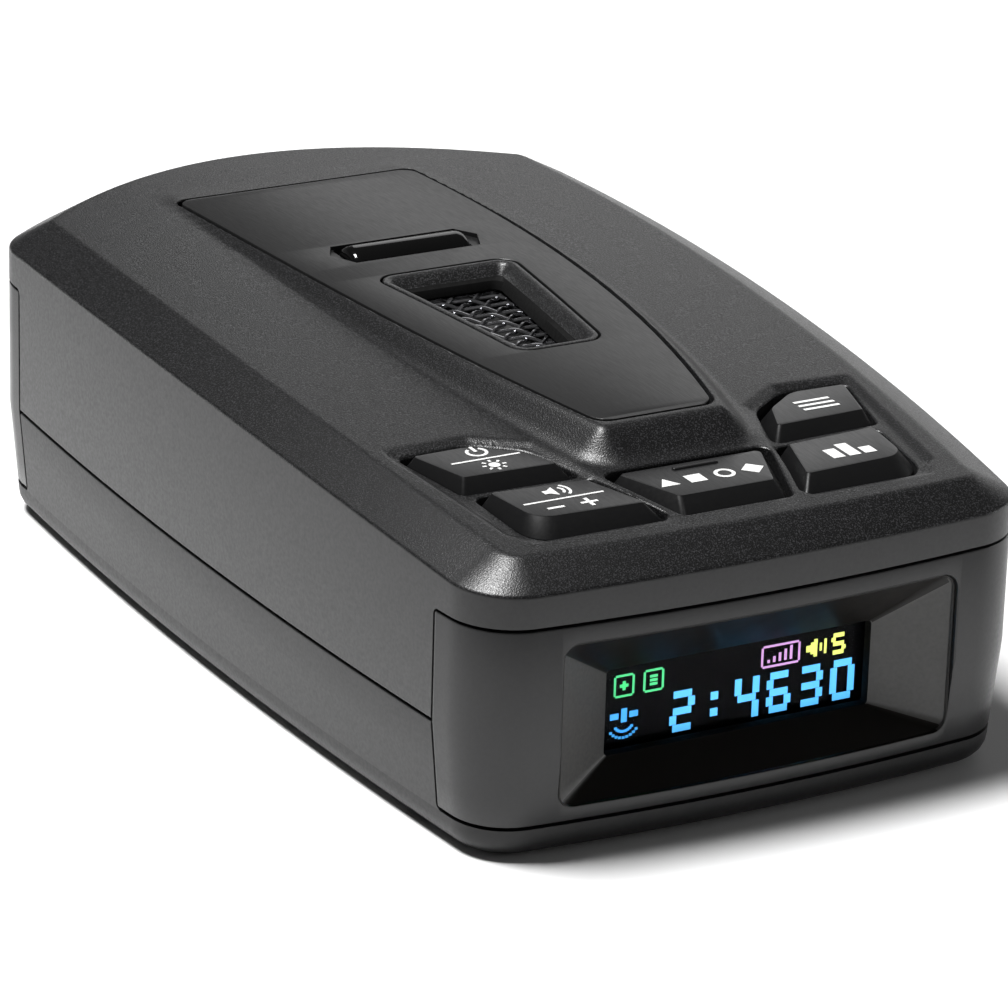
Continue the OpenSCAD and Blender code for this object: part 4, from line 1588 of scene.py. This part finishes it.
    def build(self) -> None:
        """Builds the four pieces."""
        self.hood_plate()
        self.light_bar()
        self.grille_frame()
        self.wire_mesh()


# ---------------------------------------------------------------- keys
class Side(Enum):
    """Which side of the case a key is on."""

    LEFT = -1
    MIDDLE = 0
    RIGHT = 1


@dataclass
class Keypad:
    """The five keys and the symbols printed on them."""

    skirt: float = 1.6
    foot_z: float = 26.6
    print_h: float = 0.035
    print_size: float = 1.18

    def _cap(self, name: str, key: Key) -> bpy.types.Object:
        """Models one key: a straight foot, a sloping skirt and a flat top with a soft edge.

        Args:
            name: The key's name.
            key: Its plan.

        Returns:
            The key, right-hand side.
        """

        def ring(corners: Sequence, grow: float, z: float) -> Ring:
            """Returns an outline of the key, grown, at one height."""
            return [Vector((x, s, z)) for x, s in rounded(grown(corners, grow), 7)]

        z = key.top
        stack = RingStack(name, ring(key.foot, -0.4, self.foot_z)).fill()
        stack.to(ring(key.foot, 0, self.foot_z + 0.4)).to(ring(key.foot, 0, z - self.skirt - 0.12))
        stack.to(ring(key.foot, -0.05, z - self.skirt))
        stack.to(ring(key.head, 0.1, z - 0.12)).to(ring(key.head, 0.03, z - 0.03))
        stack.to(ring(key.head, -0.1, z))
        return stack.cap()

    def key(self, name: str, key: Key, side: Side, body: str) -> bpy.types.Object:
        """Builds a key, with a brushed top on a dark skirt.

        Args:
            name: The CAD node that it stands for.
            key: Its plan.
            side: Which side it is on.
            body: The body that it moves with.

        Returns:
            The key.
        """
        piece = self._cap(name, key)
        if side is Side.LEFT:
            turned(piece, Matrix.Scale(-1, 4, (1, 0, 0)))
        if side is Side.MIDDLE:
            ridge = block("ridge", (-2.5, 2.5), (14.7, 15.3), (key.top - 0.3, key.top + 0.22))
            bevelled(ridge, 0.2, 3)
            cut(piece, ridge, "UNION")
        piece.data.materials.append(KEY_SKIRT.material())
        piece.data.materials.append(KEY_TOP.material())
        for face in piece.data.polygons:
            face.material_index = int(face.normal.z > 0.8 and face.center.z > key.top - 0.1)
        return place(piece, [name], "key_black", None, body)

    def _marks(self, name: str, body: str, top: float, shapes: Sequence[Sequence[Point]]) -> None:
        """Prints thin white shapes on a key.

        Args:
            name: The print's name.
            body: The body that it moves with.
            top: Height of the key's top.
            shapes: Outlines of the shapes.
        """
        points = [p for shape in shapes for p in shape]
        mid = [(min(p[i] for p in points) + max(p[i] for p in points)) / 2 for i in (0, 1)]
        size = self.print_size
        pieces = []
        for shape in shapes:
            outline = [(mid[0] + (x - mid[0]) * size, mid[1] + (s - mid[1]) * size) for x, s in shape]
            pieces.append(slab("shape", outline, top - 0.1, top + self.print_h))
        place(joined(pieces, name), [], "key_black", MARK, body)

    @staticmethod
    def bar(x: float, s: float, w: float, d: float, lean: float = 0.0) -> list[Point]:
        """Returns a bar about a point, w wide and d deep; lean shifts its back edge."""
        return [(x - w / 2, s - d / 2), (x + w / 2, s - d / 2),
                (x + w / 2 + lean, s + d / 2), (x - w / 2 + lean, s + d / 2)]

    @staticmethod
    def arc(x: float, s: float, r: float, t: float, a0: float = 0, a1: float = 358) -> list[Point]:
        """Returns part of a ring about a point, t thick, between two angles in degrees.

        Args:
            x: Its centre across the case.
            s: Its centre along the case.
            r: Its outer radius.
            t: Its thickness.
            a0: Where it starts, in degrees.
            a1: Where it ends, in degrees.

        Returns:
            The outline.
        """
        turns = [math.radians(a0 + (a1 - a0) * i / 28) for i in range(29)]
        out = [(x + r * math.cos(a), s + r * math.sin(a)) for a in turns]
        return out + [(x + (r - t) * math.cos(a), s + (r - t) * math.sin(a)) for a in turns[::-1]]

    @staticmethod
    def disc(x: float, s: float, r: float, sides: int = 28, turn: float = 90) -> list[Point]:
        """Returns a round or many-sided spot about a point."""
        turns = [math.radians(turn + 360 * i / sides) for i in range(sides)]
        return [(x + r * math.cos(a), s + r * math.sin(a)) for a in turns]

    def _speaker(self, x: float, s: float) -> list[list[Point]]:
        """Returns a small loudspeaker symbol.

        Args:
            x: Its place across the case.
            s: Its place along the case.

        Returns:
            The outlines of the horn and its two waves.
        """
        horn = [(x - 0.75, s - 0.32), (x - 0.3, s - 0.32), (x + 0.3, s - 0.85), (x + 0.3, s + 0.85),
                (x - 0.3, s + 0.32), (x - 0.75, s + 0.32)]
        return [horn, self.arc(x + 0.3, s, 0.85, 0.24, -50, 50), self.arc(x + 0.3, s, 1.35, 0.24, -50, 50)]

    def power_marks(self) -> None:
        """Prints the power and the brightness symbols."""
        x, s = -17.9, 23.7
        shapes = [self.arc(x, s + 1.55, 0.95, 0.28, 125, 415), self.bar(x, s + 2.2, 0.28, 1.1),
                  self.bar(x, s, 6.2, 0.24), self.disc(x, s - 1.5, 0.48)]
        shapes += [[(x + r * math.cos(a + b), s - 1.5 + r * math.sin(a + b)) for r, b in
                    ((0.72, -0.16), (1.08, -0.1), (1.08, 0.1), (0.72, 0.16))]
                   for a in (math.pi / 4 * i for i in range(8))]
        self._marks("power_marks", "power_key", BACK_KEY.top, shapes)

    def quiet_marks(self) -> None:
        """Prints the mute and the volume symbols."""
        x, s = -15.4, 12.9
        shapes = self._speaker(x - 0.2, s + 1.6)
        shapes += [self.bar(x, s, 7.2, 0.24), self.bar(x - 1.5, s - 1.5, 1.5, 0.32)]
        shapes += [self.bar(x + 1.5, s - 1.5, 1.5, 0.32), self.bar(x + 1.5, s - 0.99, 0.32, 0.6),
                   self.bar(x + 1.5, s - 2.01, 0.32, 0.6)]
        self._marks("quiet_marks", "quiet_key", FRONT_KEY.top, shapes)

    def function_marks(self) -> None:
        """Prints a row of four plain shapes."""
        s = 12.2
        shapes = [self.disc(-3.9, s - 0.15, 1.0, 3), self.bar(-1.3, s, 1.5, 1.5),
                  self.arc(1.4, s, 0.9, 0.32), self.disc(4.0, s, 1.05, 4)]
        self._marks("function_marks", "function_key", FUNCTION_KEY.top, shapes)

    def city_marks(self) -> None:
        """Prints a row of three roofs."""
        x, s = 15.6, 12.2
        shapes = [self.bar(x - 1.5, s + 0.15, 1.1, 1.9), self.bar(x, s + 0.5, 1.1, 2.6),
                  self.bar(x + 1.5, s - 0.15, 1.1, 1.3)]
        self._marks("city_marks", "city_key", FRONT_KEY.top, shapes)

    def menu_marks(self) -> None:
        """Prints three stacked lines."""
        x, s = 18.6, 23.4
        lines = [self.bar(x, s + 0.85 * i, 3.4, 0.36) for i in (-1, 0, 1)]
        self._marks("menu_marks", "menu_key", BACK_KEY.top, lines)

    def build(self) -> None:
        """Builds the keys and prints their symbols."""
        self.key("power_button", BACK_KEY, Side.LEFT, "power_key")
        self.key("quiet_button", FRONT_KEY, Side.LEFT, "quiet_key")
        self.key("function_button", FUNCTION_KEY, Side.MIDDLE, "function_key")
        self.key("city_button", FRONT_KEY, Side.RIGHT, "city_key")
        self.key("menu_button", BACK_KEY, Side.RIGHT, "menu_key")
        self.power_marks()
        self.quiet_marks()
        self.function_marks()
        self.city_marks()
        self.menu_marks()


# ---------------------------------------------------------------- display
class Segment(Enum):
    """The seven strokes of a digit, as (x0, z0, x1, z1) shares of its size."""

    TOP = (0, 1, 1, 1)
    UPPER_RIGHT = (1, 0.5, 1, 1)
    LOWER_RIGHT = (1, 0, 1, 0.5)
    BOTTOM = (0, 0, 1, 0)
    LOWER_LEFT = (0, 0, 0, 0.5)
    UPPER_LEFT = (0, 0.5, 0, 1)
    MIDDLE = (0, 0.5, 1, 0.5)


DIGITS = {"0": "abcdef", "1": "bc", "2": "abged", "3": "abgcd", "4": "fgbc", "5": "afgcd", "6": "afgedc",
          "7": "abc", "8": "abcdefg", "9": "abcdfg"}


@dataclass
class Display:
    """The lit screen behind its clear window."""

    front: float = 7.15
    lit: float = 0.04
    shift: Point = (1.05, -0.87)

    def screen(self) -> bpy.types.Object:
        """Models the dark screen: a glass slab with a rim.

        Returns:
            The finished piece.
        """
        piece = block("oled_module", (-17.2, 17.2), (self.front, 8.65), (5.6, 18.6))
        with editing(piece):
            pick(piece, faces=lambda f: f.normal.y < -0.9)
            bpy.ops.mesh.inset(thickness=1.0, depth=0)
            bpy.ops.mesh.inset(thickness=0.1, depth=-0.05)
        bevelled(piece, 0.12, 2)
        return place(piece, ["oled_module"], "display_glass", SCREEN)

    def window(self) -> bpy.types.Object:
        """Models the clear window.

        Returns:
            The finished piece.
        """
        piece = block("display_window", (-16, 16), (6.25, 7.05), (6.4, 17.9))
        bevelled(piece, 0.1, 2)
        return place(piece, ["display_window"], "clear_window", GLASS)

    def _strokes(self, name: str, boxes: Sequence[Sequence[float]], finish: Finish) -> bpy.types.Object:
        """Lights up a set of strokes, each given by its low and high corners (x0, z0, x1, z1).

        Args:
            name: The sign's name.
            boxes: The strokes.
            finish: The lit finish.

        Returns:
            The finished piece.
        """
        pieces = []
        for x0, z0, x1, z1 in boxes:
            dx, dz = self.shift
            outline = [(x0 + dx, z0 + dz), (x1 + dx, z0 + dz), (x1 + dx, z1 + dz), (x0 + dx, z1 + dz)]
            pieces.append(slab("stroke", outline, self.front - self.lit, self.front + 0.02, upright=True))
        return place(joined(pieces, name), [], "display_glass", finish)

    @staticmethod
    def digit(char: str, x: float, z: float, w: float, h: float, t: float) -> list[tuple[float, ...]]:
        """Returns the strokes of a digit.

        Args:
            char: The digit.
            x, z: Its lower left corner.
            w, h: Its width and height.
            t: The width of a stroke.

        Returns:
            One box for each stroke.
        """
        lit = DIGITS[char]
        boxes = []
        for letter, segment in zip("abcdefg", Segment):
            x0, z0, x1, z1 = segment.value
            if letter not in lit:
                continue
            if z0 == z1:
                level = z + z0 * (h - t)
                boxes.append((x + t * 0.5, level, x + w - t * 0.5, level + t))
                continue
            ends = ("d", "g") if z0 == 0 else ("g", "a")
            low = z + z0 * (h - t) + (t * 1.07 if ends[0] in lit else t * z0)
            high = z + z1 * (h - t) + (-t * 0.07 if ends[1] in lit else t * z1)
            left = x + x0 * (w - t)
            boxes.append((left, low, left + t, high))
        return boxes

    def digits(self) -> bpy.types.Object:
        """Lights up the large reading.

        Returns:
            The finished piece.
        """
        boxes = []
        for i, char in enumerate("2 4630"):
            x = -7.4 + 3.55 * i
            if char == " ":
                boxes += [(x + 0.9, 9.6, x + 1.7, 10.4), (x + 0.9, 11.3, x + 1.7, 12.1)]
            else:
                boxes += self.digit(char, x, 8.7, 2.7, 4.2, 0.72)
        return self._strokes("lit_digits", boxes, CYAN)

    def _frame(self, x: float, z: float, w: float, h: float, t: float = 0.2) -> list[tuple[float, ...]]:
        """Returns the four strokes of a small frame with open corners."""
        return [(x + t, z, x + w - t, z + t), (x + t, z + h - t, x + w - t, z + h),
                (x, z + t, x + t, z + h - t), (x + w - t, z + t, x + w, z + h - t)]

    def badges(self) -> None:
        """Lights up two green frames and a pink one, each round a plain sign."""
        green = self._frame(-13.6, 13.4, 2.2, 2.3) + self._frame(-10.4, 13.4, 2.2, 2.3)
        green += [(-12.95, 14.4, -12.05, 14.7), (-12.65, 14.1, -12.35, 15.0)]
        green += [(-9.7, 14.85, -8.9, 15.1), (-9.7, 14.45, -8.9, 14.7), (-9.7, 14.05, -8.9, 14.3)]
        self._strokes("lit_frames", green, GREEN)
        pink = self._frame(2.5, 13.5, 4.3, 2.3)
        pink += [(3.2 + 0.62 * i, 14.0, 3.45 + 0.62 * i, 14.3 + 0.28 * i) for i in range(5)]
        self._strokes("lit_badge", pink, PINK)

    def volume(self) -> bpy.types.Object:
        """Lights up the loudspeaker sign and its digit.

        Returns:
            The finished piece.
        """
        x, z = 7.5, 14.65
        boxes = [(x, z - 0.32, x + 0.5, z + 0.32), (x + 0.5, z - 0.6, x + 0.85, z + 0.6),
                 (x + 0.85, z - 0.9, x + 1.2, z + 0.9)]
        boxes += [(x + 1.5, z - 0.4, x + 1.72, z + 0.4), (x + 2.0, z - 0.75, x + 2.24, z + 0.75)]
        return self._strokes("lit_volume", boxes + self.digit("5", 10.3, 13.55, 1.6, 2.2, 0.42), LIME)

    def signal(self) -> bpy.types.Object:
        """Lights up the signal sign: a mast between two wings over a bowl of steps.

        Returns:
            The finished piece.
        """
        x, z = -12.4, 10.4
        boxes = [(x - 1.5, z + 0.8, x - 0.6, z + 1.4), (x + 0.6, z + 0.8, x + 1.5, z + 1.4),
                 (x - 0.3, z + 0.4, x + 0.3, z + 1.8)]
        for radius in (1.1, 1.75):
            for i in range(-4, 5):
                turn = math.radians(-90 + 13 * i)
                cx, cz = x + radius * math.cos(turn), z + 0.55 + radius * math.sin(turn)
                boxes.append((cx - 0.14, cz - 0.12, cx + 0.14, cz + 0.12))
        return self._strokes("lit_signal", boxes, BLUE)

    def build(self) -> None:
        """Builds the screen, its lit signs and the window."""
        self.screen()
        self.window()
        self.digits()
        self.badges()
        self.volume()
        self.signal()


# ---------------------------------------------------------------- sockets and screws
@dataclass
class Fittings:
    """The screws under the case and the two sockets in its side."""

    shells: CaseShells
    head_z: float = 6.4

    def _screw(self) -> bpy.types.Object:
        """Models one screw at the origin: a domed head with a cross recess, and a threaded shank.

        Returns:
            The screw.
        """
        profile = ((0.9, 0.0), (1.75, 0.12), (1.98, 0.4), (2.0, 1.5), (0.85, 1.5))
        turns = [math.tau * i / 40 for i in range(40)]
        first = [Vector((0.9 * math.cos(a), 0.9 * math.sin(a), 0)) for a in turns]
        stack = RingStack("screw", first).fill()
        threads = [(0.85 if i % 2 else 0.66, 2.0 + 0.35 * i) for i in range(34)]
        for r, z in (*profile[1:], *threads, (0.3, 14.2)):
            stack.to([v.normalized() * r + Vector((0, 0, z)) for v in first])
        piece = stack.cap()
        for turn in (0, math.pi / 2):
            arm = block("arm", (-1.15, 1.15), (-0.22, 0.22), (-0.5, 0.8))
            cut(piece, turned(arm, Matrix.Rotation(turn, 4, "Z")))
        return piece

    def screws(self) -> bpy.types.Object:
        """Puts a screw in each counterbore under the case.

        Returns:
            The finished piece.
        """
        first = self._screw()
        copies = []
        for i, (x, s) in enumerate(self.shells.screws_at):
            for side in (-1, 1):
                twin = first.copy()
                twin.data = first.data.copy()
                bpy.context.scene.collection.objects.link(twin)
                spin = Matrix.Rotation(0.5 + i + side, 4, "Z")
                turned(twin, Matrix.Translation((x * side, s, self.head_z)) @ spin)
                copies.append(twin)
        bpy.data.objects.remove(first, do_unlink=True)
        return place(joined(copies, "case_screws"), ["case_screws"], "screw_steel", STEEL)

    def power_socket(self) -> bpy.types.Object:
        """Models the round power socket, with its sprung sleeve in a bored base.

        Returns:
            The finished piece.
        """
        s, z = self.shells.socket_at
        out = SHAPE.side_x(s) - 0.6
        profile = [(0.5, 19.2), (1.75, 19.2), (1.75, out - 0.35), (2.05, out), (2.6, out), (2.8, out - 0.2),
                   (2.8, 28.8), (3.4, 28.6), (3.4, 18.6), (0.5, 18.6)]
        turns = [math.tau * i / 48 for i in range(48)]
        rings = [[Vector((x, s + r * math.cos(a), z + r * math.sin(a))) for a in turns] for r, x in profile]
        stack = RingStack("power_socket", rings[0])
        for ring in rings[1:]:
            stack.to(ring)
        sleeve = stack.loop(rings[0])
        base = block("base", (18.4, 28.6), (s - 4, s + 4), (6, z + 2.9))
        bevelled(base, 0.3, 2)
        bore = add("cylinder", "bore", vertices=48, radius=1.9, depth=12, location=(25.2, s, z),
                   rotation=(0, math.pi / 2, 0))
        bpy.ops.object.transform_apply(location=True, rotation=True, scale=True)
        cut(base, bore)
        socket = joined([base, sleeve], "power_socket")
        return place(socket, ["power_socket"], "socket_black", PLASTIC)

    def usb_socket(self) -> bpy.types.Object:
        """Models the data socket's folded tin shell and its tongue.

        Returns:
            The finished piece.
        """
        s, z = self.shells.usb_at
        out = SHAPE.side_x(s) - 0.9

        def ring(x: float, grow: float) -> Ring:
            """Returns the shell's outline, grown, at a place across the case."""
            corners = [(-3.0 - grow, -1.37 - grow, 0.5), (3.0 + grow, -1.37 - grow, 0.5),
                       (3.8 + grow, 1.37 + grow, 0.8), (-3.8 - grow, 1.37 + grow, 0.8)]
            return [Vector((x, s + a, z + b)) for a, b in rounded(corners, 4)]

        first = ring(25, 0)
        stack = RingStack("shell", first)
        stack.to(ring(out - 0.15, 0)).to(ring(out, -0.1)).to(ring(out, -0.25)).to(ring(out - 0.15, -0.35))
        shell = stack.to(ring(26, -0.35)).to(ring(25.9, -1.2)).to(ring(25.1, -1.2)).loop(first)
        tongue = block("tongue", (25.5, out - 1), (s - 2.3, s + 2.3), (z - 0.1, z + 0.45))
        bevelled(tongue, 0.12, 2)
        return place(joined([shell, tongue], "usb_socket"), ["usb_socket"], "shield_tin", TIN)

    def build(self) -> None:
        """Builds the screws and the sockets."""
        self.screws()
        self.power_socket()
        self.usb_socket()


# ---------------------------------------------------------------- pieces inside
INNER_FINISHES = {
    BOARD: ("display_board", "switch_board", "main_board"),
    AMBER: ("display_ribbon", "key_ribbon"),
    PLASTIC: ("switch_bodies", "light_sensors"),
    CHIP: ("chips",),
    CAN: ("capacitors",),
    TIN: ("rf_shield",),
    CERAMIC: ("gps_antenna",),
    CAST: ("horn_antenna",),
    RED_LENS: ("laser_lens",),
    FRAME_PAINT: ("speaker_basket",),
    PAPER: ("speaker_cone",),
    ZINC: ("speaker_magnet",),
    STEEL: ("board_screws",),
    GREY: ("power_plunger", "quiet_plunger", "function_plunger", "city_plunger", "menu_plunger"),
}


def dress_inner_nodes() -> None:
    """Gives each CAD node that stays in view inside the case its own finish."""
    for finish, names in INNER_FINISHES.items():
        for name in names:
            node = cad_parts[name]
            node.data.materials.clear()
            node.data.materials.append(finish.material())
            log.info("%s keeps its CAD shape with finish %s", name, finish.name)


# ---------------------------------------------------------------- studio
@dataclass
class Studio:
    """The pale floor, the soft lights and the camera."""

    target: tuple = (0.00005, -0.00666, 0.01361)
    distance: float = 0.54706
    azimuth: float = -28.906
    elevation: float = 21.829
    roll: float = 1.706
    lens: float = 191.889
    glow: tuple = ((0.0, 0.12), (0.25, 0.09), (0.45, 0.03), (1.0, 0.04))

    def camera(self) -> None:
        """Sets up the camera."""
        data = bpy.data.cameras.new("camera")
        data.lens = self.lens
        data.sensor_width = 36
        data.clip_start = 0.01
        camera = bpy.data.objects.new("camera", data)
        bpy.context.scene.collection.objects.link(camera)
        turn, rise = math.radians(self.azimuth), math.radians(self.elevation)
        away = Vector((math.sin(turn) * math.cos(rise), -math.cos(turn) * math.cos(rise), math.sin(rise)))
        look = Matrix.Rotation(turn, 4, "Z") @ Matrix.Rotation(math.pi / 2 - rise, 4, "X")
        camera.matrix_world = (Matrix.Translation(Vector(self.target) + away * self.distance) @ look
                               @ Matrix.Rotation(math.radians(self.roll), 4, "Z"))
        bpy.context.scene.camera = camera

    def floor(self) -> None:
        """Lays the pale floor."""
        piece = add("plane", "floor", size=8)
        material = bpy.data.materials.new("pale_floor")
        material.use_nodes = True
        shader = material.node_tree.nodes["Principled BSDF"]
        shader.inputs["Base Color"].default_value = (0.9, 0.9, 0.9, 1)
        shader.inputs["Roughness"].default_value = 0.9
        shader.inputs["Specular IOR Level"].default_value = 0.1
        piece.data.materials.append(material)

    def _area(self, name: str, towards: tuple, distance: float, size: Point, power: float) -> None:
        """Hangs a soft rectangular light that faces the object.

        Args:
            name: The light's name.
            towards: Direction from the object to the light.
            distance: How far away it hangs, in metres.
            size: Its two sides, in metres.
            power: Its power, in watts.
        """
        data = bpy.data.lights.new(name, "AREA")
        data.shape = "RECTANGLE"
        data.size, data.size_y = size
        data.energy = power
        light = bpy.data.objects.new(name, data)
        bpy.context.scene.collection.objects.link(light)
        direction = Vector(towards).normalized()
        light.location = direction * distance
        light.rotation_euler = direction.to_track_quat("Z", "Y").to_euler()

    def lights(self) -> None:
        """Sets the room's soft glow and the lamps."""
        world = bpy.data.worlds.new("room")
        bpy.context.scene.world = world
        world.use_nodes = True
        tree = world.node_tree
        coords = tree.nodes.new("ShaderNodeTexCoord")
        split = tree.nodes.new("ShaderNodeSeparateXYZ")
        ramp = tree.nodes.new("ShaderNodeValToRGB")
        tree.links.new(coords.outputs["Generated"], split.inputs[0])
        tree.links.new(split.outputs["Z"], ramp.inputs[0])
        tree.links.new(ramp.outputs[0], tree.nodes["Background"].inputs["Color"])
        for i, (at, grey) in enumerate(self.glow):
            stop = ramp.color_ramp.elements[i] if i < 2 else ramp.color_ramp.elements.new(at)
            stop.position = at
            stop.color = (grey, grey, grey, 1)
        tree.nodes["Background"].inputs["Strength"].default_value = 1.0
        self._area("key_light", (-0.27, 0.1, 0.95), 0.9, (0.25, 0.25), 13)
        self._area("back_light", (0.63, 0.7, 0.33), 1.2, (0.85, 0.6), 1.35)
        self._area("side_light", (0.93, -0.3, 0.17), 1.0, (0.6, 0.25), 1.4)
        bpy.context.scene.view_settings.view_transform = "Standard"

    def build(self) -> None:
        """Builds the studio."""
        self.camera()
        self.floor()
        self.lights()


def main() -> None:
    """Builds the radar detector, sub-assembly by sub-assembly, and its studio."""
    logging.basicConfig(level=logging.INFO, format="%(message)s")
    shells = CaseShells()
    Studio().build()
    shells.build()
    CaseEnds(shells).build()
    Hood().build()
    Keypad().build()
    Display().build()
    Fittings(shells).build()
    dress_inner_nodes()


if __name__ == "__main__":
    main()
